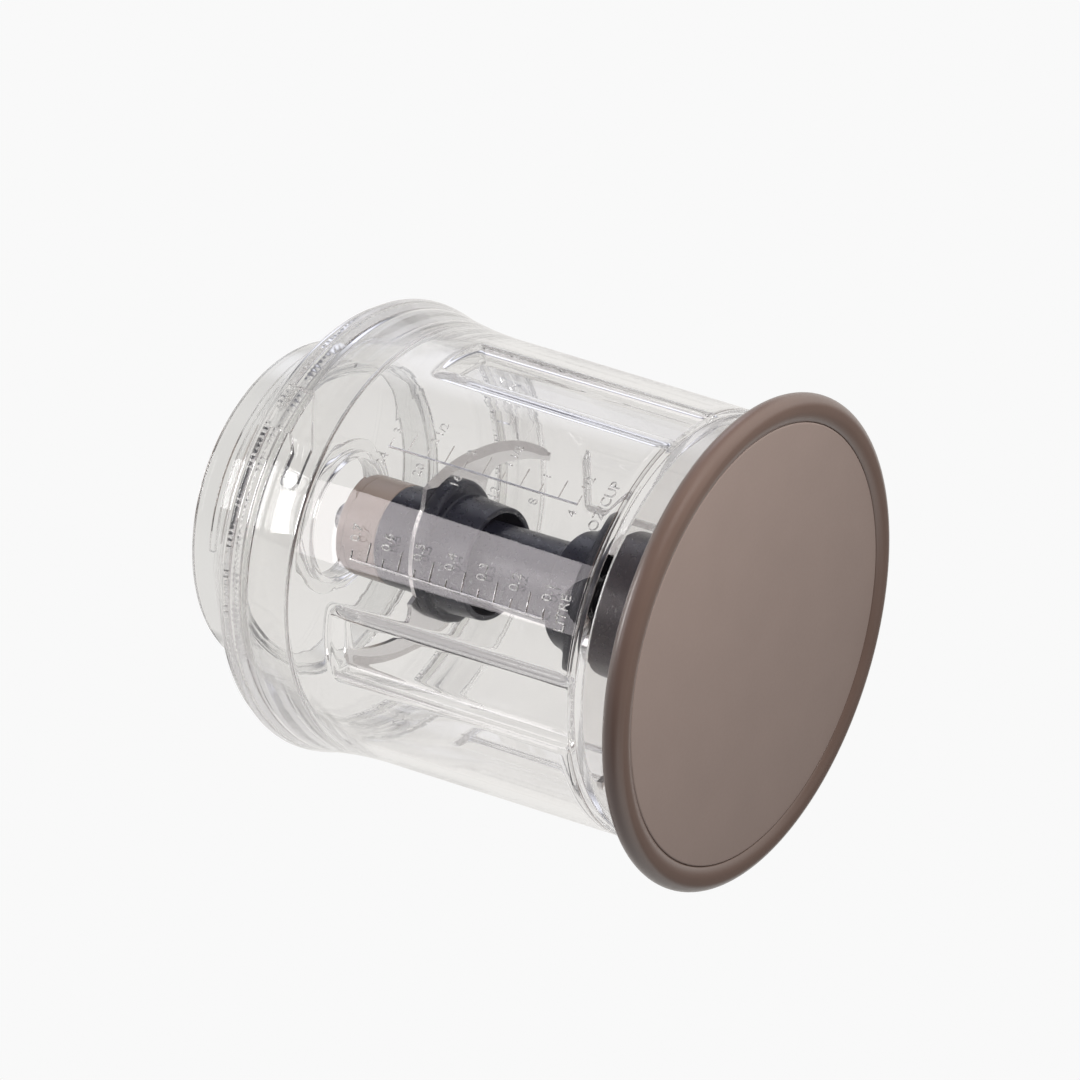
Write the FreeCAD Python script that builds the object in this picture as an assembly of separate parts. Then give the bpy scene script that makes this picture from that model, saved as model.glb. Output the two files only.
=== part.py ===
import FreeCAD, Part
import math
import os

from FreeCAD import Vector

os.makedirs("parts", exist_ok=True)

# Bowl of a food chopper, standing upright: a clear jar on a soft base cap, a clear lid with a
# collar for the drive unit, and a two-tier blade set that turns on a steel pin in the jar.
# Millimetres. The origin is the middle of the ring that the base cap stands on, +Z is up.
# Angles are in degrees, counted anticlockwise from the -Y side as seen from above.

# Clearances
SEAT_GAP = 0.1          # between a loose piece and the face that it rests on
TURNING_GAP = 0.35      # between pieces that move past each other
BEARING_GAP = 0.06      # radial clearance of the bushes on the pin
ASSEMBLY_GAP = 0.03     # radial clearance of pieces that are pressed or glued together
SPLINE_GAP = 0.15       # round the splined spigot that joins the two blade units
OVERCUT = 1.0           # how far a cutting shape runs past the face that it opens

# Jar, outside
BODY_RADIUS = 59.6
BODY_TAPER = 2.3
BODY_HEIGHT = 74.9
FOOT_INSET = 1.1
FOOT_HEIGHT = 17.8
NECK_HEIGHT = 35.0
FLARE = 3.0
FLARE_MIDDLE_OUT = 1.08
FLARE_MIDDLE_UP = 15.7
RIM_BULGE = 1.5
RIM_ROUND = 0.5
RIM_BAND = 8.0

# Jar, inside
WALL = 2.6
FLOOR_THICKNESS = 2.8
FLOOR_ABOVE_FOOT_LINE = 1.4
FOOT_WALL = 2.8
INNER_CORNER = 3.6
LEDGE_WIDTH = 1.4
MOUTH_DEPTH = 18.6
RIM_CHAMFER = 0.6

# Four sunk panels, pushed inwards as food deflectors
PANEL_COUNT = 4
PANEL_ANGLE = 45.0
PANEL_SPAN = 18.0
PANEL_DEPTH = 3.2
PANEL_BEVEL = 2.3
PANEL_START = 0.5
PANEL_END = 1.0

# Base cap
PLATE_OVERHANG = 2.3
PLATE_RECESS = 1.2
PLATE_THICKNESS = 2.0
CAP_OVERHANG = 9.8
BEAD_RADIUS = 3.2
BEAD_LAND = 1.2
BEAD_SAG = 0.18
CREASE_DEPTH = 0.6
LIP_WIDTH = 3.6
LIP_HEIGHT = 3.8
SPIGOT_WALL = 2.0
SPIGOT_HEIGHT = 6.0

# Bayonet: lugs on the lid, channels in the mouth of the jar
LUG_COUNT = 3
LUG_ANGLE = -7.0
LUG_BELOW_RIM = 12.5
LUG_REACH = 1.15
CHANNEL_RADIUS = 2.8
CHANNEL_ROOF_END = -0.5
CHANNEL_FLOOR_END = 2.0
CHANNEL_MOUTH_START = 4.0
CHANNEL_MOUTH_END = 16.4
CHANNEL_MOUTH_DEPTH = 6.5

# Steel pin and the boss that holds it
PIN_RADIUS = 4.0
PIN_ROOT = 1.3
PIN_BELOW_RIM = 23.0
PIN_TIP = 1.2
BOSS_LOW_WALL = 7.0
BOSS_HIGH_WALL = 5.5
BOSS_HEIGHT = 19.5

# Lower blade unit. Heights are above the floor of the jar or below its rim.
HUB_FLOOR_GAP = 2.0
BELL_BOSS_GAP = 1.5
BELL_WIDTH = 8.0
BELL_TAPER = 1.0
BELL_HEIGHT = 23.5
BELL_ROUND = 1.0
BELL_ROOF_GAP = 4.0
NECK_HEIGHT_IN_JAR = 36.7
NECK_ROUND = 0.5
SHOULDER_FILLET = 4.2
TUBE_TAPER = 0.4
TUBE_BELOW_RIM = 33.0
TUBE_ROUND = 0.3
TUBE_SHOULDER = 1.7
BUSH_WALL = 2.5
BUSH_LENGTH = 14.0
BUSH_INSET = 6.0
SPIGOT_LENGTH = 13.5
HUB_TOP_WALL = 3.5
HUB_ROOF = 1.4
SPLINE_COUNT = 4
SPLINE_WIDTH = 3.0
SPLINE_DEPTH = 1.4
LOWER_BLADE_HEIGHT = 5.4
LOWER_BLADE_THICKNESS = 1.6
LOWER_TIP_GAP = 3.05
LOWER_BLADE_TURN = 150.0
SCREW_COUNT = 3
SCREW_TURN = 30.0
SCREW_RADIUS = 1.5
SCREW_HEAD_RADIUS = 2.3
SCREW_HEAD_HEIGHT = 2.0
SCREW_SLOT_WIDTH = 0.8
SCREW_SLOT_DEPTH = 0.9
SCREW_GRIP = 7.0

# Upper blade unit
SLEEVE_LENGTH = 12.3
SLEEVE_TUBE_GAP = 2.9
SLEEVE_WALL = 1.7
SLEEVE_TAPER = 0.8
FLANGE_HEIGHT = 4.5
FLANGE_INSET = 0.1
FLANGE_STRETCH = 4.6
FLANGE_ROUND = 1.8
FLANGE_TURN = -44.5
UPPER_BLADE_BELOW_RIM = 27.5
UPPER_BLADE_THICKNESS = 1.4
UPPER_TIP_GAP = 1.75
UPPER_BLADE_TURN = 0.0
RIVET_RADIUS = 1.6
RIVET_LENGTH = 3.6
COLLAR_HEIGHT = 14.0
COLLAR_STEP = 3.1
COLLAR_SPIGOT_WALL = 1.45
COLLAR_SPIGOT = 3.2
COUPLING_HEIGHT = 10.6
COUPLING_CAP_HEIGHT = 3.5
COUPLING_ROUND = 1.4
COUPLING_SPIGOT_INSET = 1.0
COUPLING_SPIGOT = 3.9
SHAFT_RADIUS = 4.0
SHAFT_REACH = 9.8
SHAFT_ROOT_DEPTH = 5.3
FLUTE_COUNT = 8
FLUTE_RADIUS = 0.75
FLUTE_CHAMFER = 0.8

# Lid
SKIRT_WALL = 2.2
SKIRT_LEDGE_GAP = 0.6
LID_EDGE_INSET = 0.9
LID_EDGE_HEIGHT = 2.0
LID_WALL = 2.5
DECK_ABOVE_RIM = 15.8
DECK_INSET = 13.6
COLLAR_INSET = 16.4
COLLAR_ROOT_STEP = 0.7
LID_COLLAR_WALL = 2.6
LID_COLLAR_HEIGHT = 10.4
BAYONET_RIB_STEP = 2.4
BAYONET_RIB_HEIGHT = 2.2
BAYONET_RIB_COUNT = 3
BAYONET_RIB_SPAN = 90.0
BAYONET_RIB_ANGLE = 10.0
SOCKET_WALL = 2.3
SOCKET_ROOM = 2.88
SOCKET_DROP = 4.0
SOCKET_FLANGE_WIDTH = 3.5
SOCKET_FLANGE_HEIGHT = 1.5
SEAL_BELOW_RIM = 4.6
SEAL_HEIGHT = 2.4
SEAL_DEPTH = 1.1

# Heights that follow from the values above
plate_top = PLATE_RECESS + PLATE_THICKNESS
foot_bottom = plate_top + SEAT_GAP
foot_line = foot_bottom + FOOT_HEIGHT
floor_top = foot_line + FLOOR_ABOVE_FOOT_LINE
floor_bottom = floor_top - FLOOR_THICKNESS
neck_start = foot_line + BODY_HEIGHT
rim_top = neck_start + NECK_HEIGHT
ledge_z = rim_top - MOUTH_DEPTH
lug_z = rim_top - LUG_BELOW_RIM
pin_top = rim_top - PIN_BELOW_RIM
boss_top = floor_top + BOSS_HEIGHT
hub_bottom = floor_top + HUB_FLOOR_GAP
lower_blade_z = floor_top + LOWER_BLADE_HEIGHT
lower_blade_top = lower_blade_z + LOWER_BLADE_THICKNESS
bell_top = floor_top + BELL_HEIGHT
bell_roof = boss_top + BELL_ROOF_GAP
neck_top = floor_top + NECK_HEIGHT_IN_JAR
tube_top = rim_top - TUBE_BELOW_RIM
spigot_top = tube_top + SPIGOT_LENGTH
upper_blade_z = rim_top - UPPER_BLADE_BELOW_RIM
upper_blade_top = upper_blade_z + UPPER_BLADE_THICKNESS
flange_bottom = upper_blade_z - FLANGE_HEIGHT
sleeve_bottom = flange_bottom - SLEEVE_LENGTH
collar_top = upper_blade_top + COLLAR_HEIGHT
coupling_seam = collar_top + COUPLING_HEIGHT
coupling_top = coupling_seam + COUPLING_CAP_HEIGHT
shaft_top = coupling_top + SHAFT_REACH
shaft_root = collar_top - SHAFT_ROOT_DEPTH
lid_seat = rim_top + SEAT_GAP
lid_edge_top = lid_seat + LID_EDGE_HEIGHT
deck_z = rim_top + DECK_ABOVE_RIM
lid_top = deck_z + LID_COLLAR_HEIGHT

# Radii that follow from the values above
foot_radius = BODY_RADIUS - FOOT_INSET
foot_inner_radius = foot_radius - FOOT_WALL
high_radius = BODY_RADIUS + BODY_TAPER
flare_radius = high_radius + FLARE
rim_radius = flare_radius + RIM_BULGE
inner_low_radius = BODY_RADIUS - WALL
inner_high_radius = high_radius - WALL
mouth_radius = inner_high_radius + LEDGE_WIDTH
panel_edge_distance = BODY_RADIUS * math.cos(math.radians(PANEL_SPAN / 2))
panel_half_width = BODY_RADIUS * math.sin(math.radians(PANEL_SPAN / 2))
blade_room = panel_edge_distance - PANEL_DEPTH - WALL
plate_radius = foot_radius + PLATE_OVERHANG
cap_radius = foot_radius + CAP_OVERHANG
skirt_radius = mouth_radius - TURNING_GAP
lug_end_radius = skirt_radius + LUG_REACH + TURNING_GAP
channel_floor_radius = lug_end_radius + TURNING_GAP
boss_low_radius = PIN_RADIUS + BOSS_LOW_WALL
boss_high_radius = PIN_RADIUS + BOSS_HIGH_WALL
bell_bore = boss_low_radius + BELL_BOSS_GAP
bell_radius = bell_bore + BELL_WIDTH
screw_circle = (bell_bore + bell_radius) / 2 - SCREW_RADIUS / 2
bush_radius = PIN_RADIUS + BUSH_WALL
spigot_radius = bush_radius + HUB_TOP_WALL
spline_radius = spigot_radius + SPLINE_DEPTH
tube_high_radius = spigot_radius + TUBE_SHOULDER
tube_low_radius = tube_high_radius + TUBE_TAPER
neck_radius = tube_low_radius + SHOULDER_FILLET + NECK_ROUND
sleeve_bore = tube_high_radius + SLEEVE_TUBE_GAP
sleeve_low_radius = sleeve_bore + SLEEVE_WALL
sleeve_high_radius = sleeve_low_radius + SLEEVE_TAPER
flange_short = sleeve_high_radius - FLANGE_INSET
flange_long = flange_short + FLANGE_STRETCH
collar_radius = tube_high_radius + COLLAR_STEP
collar_spigot_radius = spline_radius + SPLINE_GAP + COLLAR_SPIGOT_WALL
coupling_spigot_radius = spigot_radius - COUPLING_SPIGOT_INSET
rivet_circle = (collar_spigot_radius + flange_long) / 2
socket_bore = collar_radius + SOCKET_ROOM
socket_radius = socket_bore + SOCKET_WALL
lid_edge_radius = rim_radius - RIM_ROUND - LID_EDGE_INSET
deck_radius = lid_edge_radius - DECK_INSET
lid_collar_radius = lid_edge_radius - COLLAR_INSET

# The blade outline is drawn at this reach and angle, and then sized and turned.
DRAWN_REACH = 51.3
DRAWN_TURN = -102.5

# Depth of the middle of a quarter arc inside its corner, as a share of its radius
ARC_SHARE = 1 - math.sqrt(0.5)

UP = Vector(0, 0, 1)
ORIGIN = Vector(0, 0, 0)


# General shapes

def turned(start, *path):
    """Solid of revolution about Z. A pair is a straight run to (radius, height), and four
    numbers are an arc through the first pair to the second."""
    edges = []
    first = Vector(start[0], 0, start[1])
    here = first
    for step in path:
        there = Vector(step[-2], 0, step[-1])
        if len(step) == 4:
            through = Vector(step[0], 0, step[1])
            edges.append(Part.Arc(here, through, there).toShape())
        else:
            edges.append(Part.makeLine(here, there))
        here = there
    edges.append(Part.makeLine(here, first))
    return Part.Face(Part.Wire(edges)).revolve(ORIGIN, UP, 360)


def rod(radius, bottom, top):
    """Upright cylinder on the axis."""
    return Part.makeCylinder(radius, top - bottom, Vector(0, 0, bottom))


def ring(inner, outer, bottom, top):
    """Upright ring with square edges."""
    return rod(outer, bottom, top).cut(rod(inner, bottom - OVERCUT, top + OVERCUT))


def turn(shape, angle):
    """Copy of a shape, turned about the axis."""
    copy = shape.copy()
    copy.rotate(ORIGIN, UP, angle)
    return copy


def around(shape, count, start=0.0):
    """Evenly spaced copies of a shape about the axis."""
    return [turn(shape, start + 360.0 * index / count) for index in range(count)]


def on_circle(radius, angle, height):
    """Point at an angle counted anticlockwise from the -Y side."""
    turned_by = math.radians(angle)
    return Vector(radius * math.sin(turned_by), -radius * math.cos(turned_by), height)


def sector(inner, outer, bottom, top, start, span):
    """Part of a ring, from one angle over a span of degrees."""
    corners = [(inner, bottom), (outer, bottom), (outer, top), (inner, top), (inner, bottom)]
    face = Part.Face(Part.makePolygon([on_circle(r, start, z) for r, z in corners]))
    return face.revolve(ORIGIN, UP, span)


def save(name, shape):
    """Check a shape and write it as one node."""
    whole = shape.removeSplitter()
    if not whole.isValid():
        raise ValueError("invalid solid: " + name)
    whole.exportStep("parts/" + name + ".step")
    print(name, len(whole.Solids), round(whole.Volume, 1))


# Base cap

def make_base_plate():
    """Flat disc with a low ring that stands inside the foot of the jar."""
    disc = rod(plate_radius, PLATE_RECESS, plate_top)
    outer = foot_inner_radius - TURNING_GAP
    inner = outer - SPIGOT_WALL
    top = plate_top + SPIGOT_HEIGHT
    lead_in = SPIGOT_WALL / 2
    spigot = turned(
        (inner, plate_top),
        (outer, plate_top),
        (outer, top - 2 * lead_in),
        (outer - lead_in, top),
        (inner, top),
    )
    return disc.fuse(spigot)


def make_base_ring():
    """Soft rounded bead round the disc, with a lip that closes on the foot of the jar."""
    centre = cap_radius - BEAD_RADIUS
    land_inner = centre - BEAD_LAND
    bore = foot_radius + TURNING_GAP
    lip_outer = bore + LIP_WIDTH
    bead_top = 2 * BEAD_RADIUS
    edge = plate_radius + ASSEMBLY_GAP
    slope_middle = (edge + land_inner) / 2
    slope_middle_z = PLATE_RECESS / 2 - BEAD_SAG
    return turned(
        (edge, PLATE_RECESS),
        (slope_middle, slope_middle_z, land_inner, 0),
        (centre, 0),
        (centre + BEAD_RADIUS, BEAD_RADIUS, centre, bead_top),
        (lip_outer, bead_top - CREASE_DEPTH),
        (lip_outer, plate_top + LIP_HEIGHT),
        (bore, plate_top + LIP_HEIGHT),
        (bore, plate_top + SEAT_GAP),
        (edge, plate_top + SEAT_GAP),
    )


# Jar

def panel_block(outer_level, inner_level, half_at_surface, low, high):
    """Block with four sloping sides, for one panel on the -Y side. Levels are depths below the
    surface of the body, and its width and height shrink with depth at the slope of the bevel."""
    slope = PANEL_BEVEL / PANEL_DEPTH
    taper = BODY_TAPER / BODY_HEIGHT
    wires = []
    for level in (outer_level, inner_level):
        half = half_at_surface - level * slope
        corners = []
        for side, height in ((-1, low), (1, low), (1, high), (-1, high), (-1, low)):
            z = height + level * slope if height == low else height - level * slope
            distance = panel_edge_distance + (z - foot_line) * taper - level
            corners.append(Vector(side * half, -distance, z))
        wires.append(Part.makePolygon(corners))
    return Part.makeLoft(wires, True, True)


def panel_recess():
    """Cutting shape of one sunk panel."""
    low = foot_line + PANEL_START
    high = neck_start + PANEL_END
    return panel_block(-2 * OVERCUT, PANEL_DEPTH, panel_half_width, low, high)


def panel_bump():
    """The same panel seen from inside: its wall stands into the jar."""
    slope_angle = math.atan2(PANEL_DEPTH, PANEL_BEVEL)
    widening = WALL * math.tan(slope_angle / 2) + WALL * PANEL_BEVEL / PANEL_DEPTH
    low = foot_line + PANEL_START - widening
    high = neck_start + PANEL_END + widening
    return panel_block(0, PANEL_DEPTH + WALL, panel_half_width + widening, low, high)


def bayonet_channel():
    """Cutting shape of one channel: a level stretch with a round end, then a ramp up to the rim."""
    middle = (CHANNEL_MOUTH_START + LUG_ANGLE) / 2

    def point(angle, height):
        across = channel_floor_radius * math.sin(math.radians(angle - middle))
        return Vector(across, -channel_floor_radius - OVERCUT, height)

    roof = lug_z + CHANNEL_RADIUS
    base = lug_z - CHANNEL_RADIUS
    ramp_top = rim_top - CHANNEL_MOUTH_DEPTH
    above = rim_top + OVERCUT
    end = point(LUG_ANGLE, lug_z)
    outline = [
        point(LUG_ANGLE, base),
        point(CHANNEL_FLOOR_END, base),
        point(CHANNEL_MOUTH_END, ramp_top),
        point(CHANNEL_MOUTH_END, above),
        point(CHANNEL_MOUTH_START, above),
        point(CHANNEL_MOUTH_START, ramp_top),
        point(CHANNEL_ROOF_END, roof),
        point(LUG_ANGLE, roof),
    ]
    edges = [Part.makeLine(a, b) for a, b in zip(outline, outline[1:])]
    edges.append(Part.Arc(outline[-1], end - Vector(CHANNEL_RADIUS, 0, 0), outline[0]).toShape())
    prism = Part.Face(Part.Wire(edges)).extrude(Vector(0, channel_floor_radius / 3, 0))
    prism = turn(prism, middle)
    return prism.common(rod(channel_floor_radius, base - OVERCUT, above + OVERCUT))


def make_jar():
    """Clear jar: foot, tapered body with sunk panels, flared neck, mouth with bayonet channels,
    and the boss in the middle of its floor."""
    flare_z = rim_top - RIM_BAND
    flare_middle_radius = high_radius + FLARE_MIDDLE_OUT
    flare_middle_z = neck_start + FLARE_MIDDLE_UP
    bulge_z = rim_top - 4 * RIM_ROUND
    round_middle_z = rim_top - 1.6 * RIM_ROUND
    outside = turned(
        (0, foot_bottom),
        (foot_radius, foot_bottom),
        (foot_radius, foot_line - FOOT_INSET / 2),
        (BODY_RADIUS, foot_line),
        (high_radius, neck_start),
        (flare_middle_radius, flare_middle_z, flare_radius, flare_z),
        (rim_radius - RIM_BULGE / 3, (flare_z + bulge_z) / 2, rim_radius, bulge_z),
        (rim_radius, round_middle_z, rim_radius - RIM_ROUND, rim_top),
        (0, rim_top),
    )
    corner = INNER_CORNER * ARC_SHARE
    inside = turned(
        (0, floor_top),
        (inner_low_radius - INNER_CORNER, floor_top),
        (inner_low_radius - corner, floor_top + corner, inner_low_radius, floor_top + INNER_CORNER),
        (inner_high_radius, ledge_z),
        (mouth_radius, ledge_z),
        (mouth_radius, rim_top - RIM_CHAMFER),
        (mouth_radius + RIM_CHAMFER, rim_top),
        (mouth_radius + RIM_CHAMFER, rim_top + OVERCUT),
        (0, rim_top + OVERCUT),
    )
    for bump in around(panel_bump(), PANEL_COUNT, PANEL_ANGLE):
        inside = inside.cut(bump)
    jar = outside.cut(inside)
    for recess in around(panel_recess(), PANEL_COUNT, PANEL_ANGLE):
        jar = jar.cut(recess)
    jar = jar.cut(rod(foot_inner_radius, foot_bottom - OVERCUT, floor_bottom))
    for channel in around(bayonet_channel(), LUG_COUNT):
        jar = jar.cut(channel)
    boss = turned(
        (0, floor_bottom),
        (boss_low_radius, floor_bottom),
        (boss_low_radius, floor_top),
        (boss_high_radius, boss_top),
        (0, boss_top),
    )
    pin_hole = rod(PIN_RADIUS + ASSEMBLY_GAP, floor_bottom + PIN_ROOT, boss_top + OVERCUT)
    return jar.fuse(boss).cut(pin_hole)


def make_spindle_pin():
    """Steel pin with a chamfered tip, fixed in the boss of the jar."""
    root = floor_bottom + PIN_ROOT
    return turned(
        (0, root),
        (PIN_RADIUS, root),
        (PIN_RADIUS, pin_top - PIN_TIP),
        (PIN_RADIUS - PIN_TIP, pin_top),
        (0, pin_top),
    )


# Blades

def wing(reach):
    """Outline of one curved blade wing. Its convex side is the cutting edge."""
    size = reach / DRAWN_REACH
    cutting_root = Vector(19.2, 14.1, 0)
    cutting_middle = Vector(-1.0, 29.6, 0)
    tip_front = Vector(-36.0, 36.4, 0)
    tip_back = Vector(-36.9, 33.4, 0)
    back_middle = Vector(-12.5, 27.5, 0)
    back_root = Vector(-10.3, 17.6, 0)
    edges = [
        Part.Arc(cutting_root, Vector(10.9, 22.7, 0), cutting_middle),
        Part.Arc(cutting_middle, Vector(-18.2, 35.6, 0), tip_front),
        Part.LineSegment(tip_front, tip_back),
        Part.Arc(tip_back, Vector(-23.8, 31.4, 0), back_middle),
        Part.Arc(back_middle, Vector(-8.9, 23.4, 0), back_root),
        Part.LineSegment(back_root, ORIGIN),
        Part.LineSegment(ORIGIN, Vector(17.1, 7.0, 0)),
        Part.LineSegment(Vector(17.1, 7.0, 0), cutting_root),
    ]
    wire = Part.Wire([edge.toShape() for edge in edges])
    grow = FreeCAD.Matrix()
    grow.scale(size, size, 1)
    return wire.transformGeometry(grow)


def blade_plate(reach, bottom, thickness, hub_radius, bore, angle):
    """Two wings and a round middle with its bore."""
    plate = rod(hub_radius, bottom, bottom + thickness)
    face = Part.Face(wing(reach))
    face.translate(Vector(0, 0, bottom))
    for half in around(face.extrude(Vector(0, 0, thickness)), 2, angle + DRAWN_TURN):
        plate = plate.fuse(half)
    return plate.cut(rod(bore, bottom - OVERCUT, bottom + thickness + OVERCUT))


def make_lower_blade():
    """Lower steel blade, clamped between the hub and its ring, with holes for the screws."""
    blade = blade_plate(blade_room - LOWER_TIP_GAP, lower_blade_z, LOWER_BLADE_THICKNESS, bell_radius,
                        bell_bore, LOWER_BLADE_TURN)
    return blade.cut(screw_holes())


def make_upper_blade():
    """Upper steel blade, riveted to the flange of the sleeve."""
    bore = collar_spigot_radius + ASSEMBLY_GAP
    blade = blade_plate(blade_room - UPPER_TIP_GAP, upper_blade_z, UPPER_BLADE_THICKNESS, flange_short,
                        bore, UPPER_BLADE_TURN)
    oval = flange_oval(0, upper_blade_z, upper_blade_top)
    oval = oval.cut(rod(bore, upper_blade_z - OVERCUT, upper_blade_top + OVERCUT))
    return blade.fuse(oval).cut(rivet_holes())


# Lower blade unit

def spline_bars(outer, width, bottom, top):
    """Bars across the axis that stand out of a round spigot as splines."""
    bar = Part.makeBox(2 * outer, width, top - bottom, Vector(-outer, -width / 2, bottom))
    bars = bar.fuse(around(bar, SPLINE_COUNT // 2))
    return bars.common(rod(outer, bottom, top))


def screw_holes():
    """Clearance holes of the clamping screws."""
    top = lower_blade_top + SCREW_GRIP + ASSEMBLY_GAP
    hole = Part.makeCylinder(SCREW_RADIUS + ASSEMBLY_GAP, top - hub_bottom + OVERCUT,
                             Vector(screw_circle, 0, hub_bottom - OVERCUT))
    holes = around(hole, SCREW_COUNT, SCREW_TURN)
    return holes[0].fuse(holes[1:])


def make_lower_hub():
    """Bell over the boss, and the long tube that turns on the pin. Its top is a splined spigot."""
    bore = bush_radius + ASSEMBLY_GAP
    bore_top = spigot_top - HUB_ROOF
    bell_cut = BELL_ROUND * ARC_SHARE
    neck_cut = NECK_ROUND * ARC_SHARE
    fillet_cut = SHOULDER_FILLET * ARC_SHARE
    hub = turned(
        (bell_bore, lower_blade_top),
        (bell_radius, lower_blade_top),
        (bell_radius, bell_top - BELL_ROUND),
        (bell_radius - bell_cut, bell_top - bell_cut, bell_radius - BELL_ROUND, bell_top),
        (neck_radius, bell_top),
        (neck_radius, neck_top - NECK_ROUND),
        (neck_radius - neck_cut, neck_top - neck_cut, neck_radius - NECK_ROUND, neck_top),
        (tube_low_radius + fillet_cut, neck_top + fillet_cut,
         tube_low_radius, neck_top + SHOULDER_FILLET),
        (tube_high_radius, tube_top - TUBE_ROUND),
        (tube_high_radius - TUBE_ROUND, tube_top),
        (spigot_radius, tube_top),
        (spigot_radius, spigot_top),
        (0, spigot_top),
        (0, bore_top),
        (bore, bore_top),
        (bore, bell_roof),
        (bell_bore, bell_roof),
    )
    splines = spline_bars(spline_radius, SPLINE_WIDTH, tube_top, spigot_top)
    splines = splines.cut(rod(spigot_radius - SPLINE_DEPTH, tube_top - OVERCUT, spigot_top + OVERCUT))
    return hub.fuse(splines).cut(screw_holes())


def make_lower_ring():
    """Ring under the lower blade, with sunk seats for the screw heads."""
    shape = turned(
        (bell_bore, hub_bottom),
        (bell_radius - BELL_TAPER, hub_bottom),
        (bell_radius, lower_blade_z - BELL_TAPER),
        (bell_radius, lower_blade_z),
        (bell_bore, lower_blade_z),
    )
    seat = Part.makeCylinder(SCREW_HEAD_RADIUS + ASSEMBLY_GAP, SCREW_HEAD_HEIGHT + OVERCUT,
                             Vector(screw_circle, 0, hub_bottom - OVERCUT))
    for sunk in around(seat, SCREW_COUNT, SCREW_TURN):
        shape = shape.cut(sunk)
    return shape.cut(screw_holes())


def make_lower_screws():
    """Screws that clamp ring, blade and hub together, with a slot in each head."""
    head_top = hub_bottom + SCREW_HEAD_HEIGHT
    shank_top = lower_blade_top + SCREW_GRIP
    at = Vector(screw_circle, 0, hub_bottom)
    head = Part.makeCylinder(SCREW_HEAD_RADIUS, SCREW_HEAD_HEIGHT, at)
    shank = Part.makeCylinder(SCREW_RADIUS, shank_top - head_top, Vector(screw_circle, 0, head_top))
    slot = Part.makeBox(2 * SCREW_HEAD_RADIUS, SCREW_SLOT_WIDTH, SCREW_SLOT_DEPTH,
                        Vector(screw_circle - SCREW_HEAD_RADIUS, -SCREW_SLOT_WIDTH / 2, hub_bottom))
    return Part.makeCompound(around(head.fuse(shank).cut(slot), SCREW_COUNT, SCREW_TURN))


def make_bush(bottom):
    """Plain bearing bush of the hub on the pin."""
    return ring(PIN_RADIUS + BEARING_GAP, bush_radius, bottom, bottom + BUSH_LENGTH)


def make_thrust_pad():
    """Hard disc in the top of the bore, which rests on the tip of the pin."""
    return rod(bush_radius, pin_top + SEAT_GAP, spigot_top - HUB_ROOF)


# Upper blade unit

def flange_oval(inset, bottom, top):
    """Oval slab under the upper blade, its long side across the wings."""
    oval = Part.Ellipse(Vector(0, 0, bottom), flange_long - inset, flange_short - inset)
    slab = Part.Face(Part.Wire(oval.toShape())).extrude(Vector(0, 0, top - bottom))
    return turn(slab, UPPER_BLADE_TURN + FLANGE_TURN)


def rivet_holes():
    """Holes of the two rivets in the long ends of the oval flange."""
    bottom = upper_blade_top - RIVET_LENGTH
    hole = Part.makeCylinder(RIVET_RADIUS + ASSEMBLY_GAP, RIVET_LENGTH + OVERCUT,
                             Vector(rivet_circle, 0, bottom - ASSEMBLY_GAP))
    holes = around(hole, 2, UPPER_BLADE_TURN + FLANGE_TURN)
    return holes[0].fuse(holes[1:])


def spline_socket(bottom, top):
    """Cutting shape for the splined spigot of the lower hub, with room all round."""
    bars = spline_bars(spline_radius + SPLINE_GAP, SPLINE_WIDTH + 2 * SPLINE_GAP, bottom, top)
    return rod(spigot_radius + SPLINE_GAP, bottom, top).fuse(bars)


def make_upper_sleeve():
    """Sleeve that slips over the tube of the lower hub, with an oval flange for the blade."""
    wall_top = tube_top + SEAT_GAP
    sleeve = turned(
        (sleeve_bore, sleeve_bottom),
        (sleeve_low_radius, sleeve_bottom),
        (sleeve_high_radius, flange_bottom),
        (flange_short - FLANGE_ROUND / 2, upper_blade_z),
        (0, upper_blade_z),
        (0, wall_top),
        (sleeve_bore, wall_top),
    )
    step = FLANGE_ROUND / 3
    for index, inset in enumerate((FLANGE_ROUND, 0.45 * FLANGE_ROUND, 0.12 * FLANGE_ROUND, 0)):
        sleeve = sleeve.fuse(flange_oval(inset, flange_bottom + index * step, upper_blade_z))
    sleeve = sleeve.cut(rod(sleeve_bore, sleeve_bottom - OVERCUT, wall_top))
    seat = rod(collar_spigot_radius + ASSEMBLY_GAP, upper_blade_top - COLLAR_SPIGOT - ASSEMBLY_GAP,
               upper_blade_z + OVERCUT)
    socket = spline_socket(wall_top - OVERCUT, upper_blade_z + OVERCUT)
    return sleeve.cut(seat).cut(socket).cut(rivet_holes())


def make_upper_rivets():
    """Two steel rivets that hold the upper blade on the flange, flush with its top."""
    bottom = upper_blade_top - RIVET_LENGTH
    rivet = Part.makeCylinder(RIVET_RADIUS, RIVET_LENGTH, Vector(rivet_circle, 0, bottom))
    return Part.makeCompound(around(rivet, 2, UPPER_BLADE_TURN + FLANGE_TURN))


def make_upper_collar():
    """Collar on top of the blade. Its spigot passes through the blade into the sleeve."""
    body = rod(collar_radius, upper_blade_top, collar_top)
    spigot = rod(collar_spigot_radius, upper_blade_top - COLLAR_SPIGOT, upper_blade_top)
    collar = body.fuse(spigot)
    collar = collar.cut(spline_socket(upper_blade_z - 2 * COLLAR_SPIGOT, spigot_top + SEAT_GAP))
    seat_bottom = collar_top - COUPLING_SPIGOT
    collar = collar.cut(rod(coupling_spigot_radius + ASSEMBLY_GAP, seat_bottom, collar_top + OVERCUT))
    return collar.cut(rod(SHAFT_RADIUS + ASSEMBLY_GAP, shaft_root, collar_top + OVERCUT))


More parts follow.
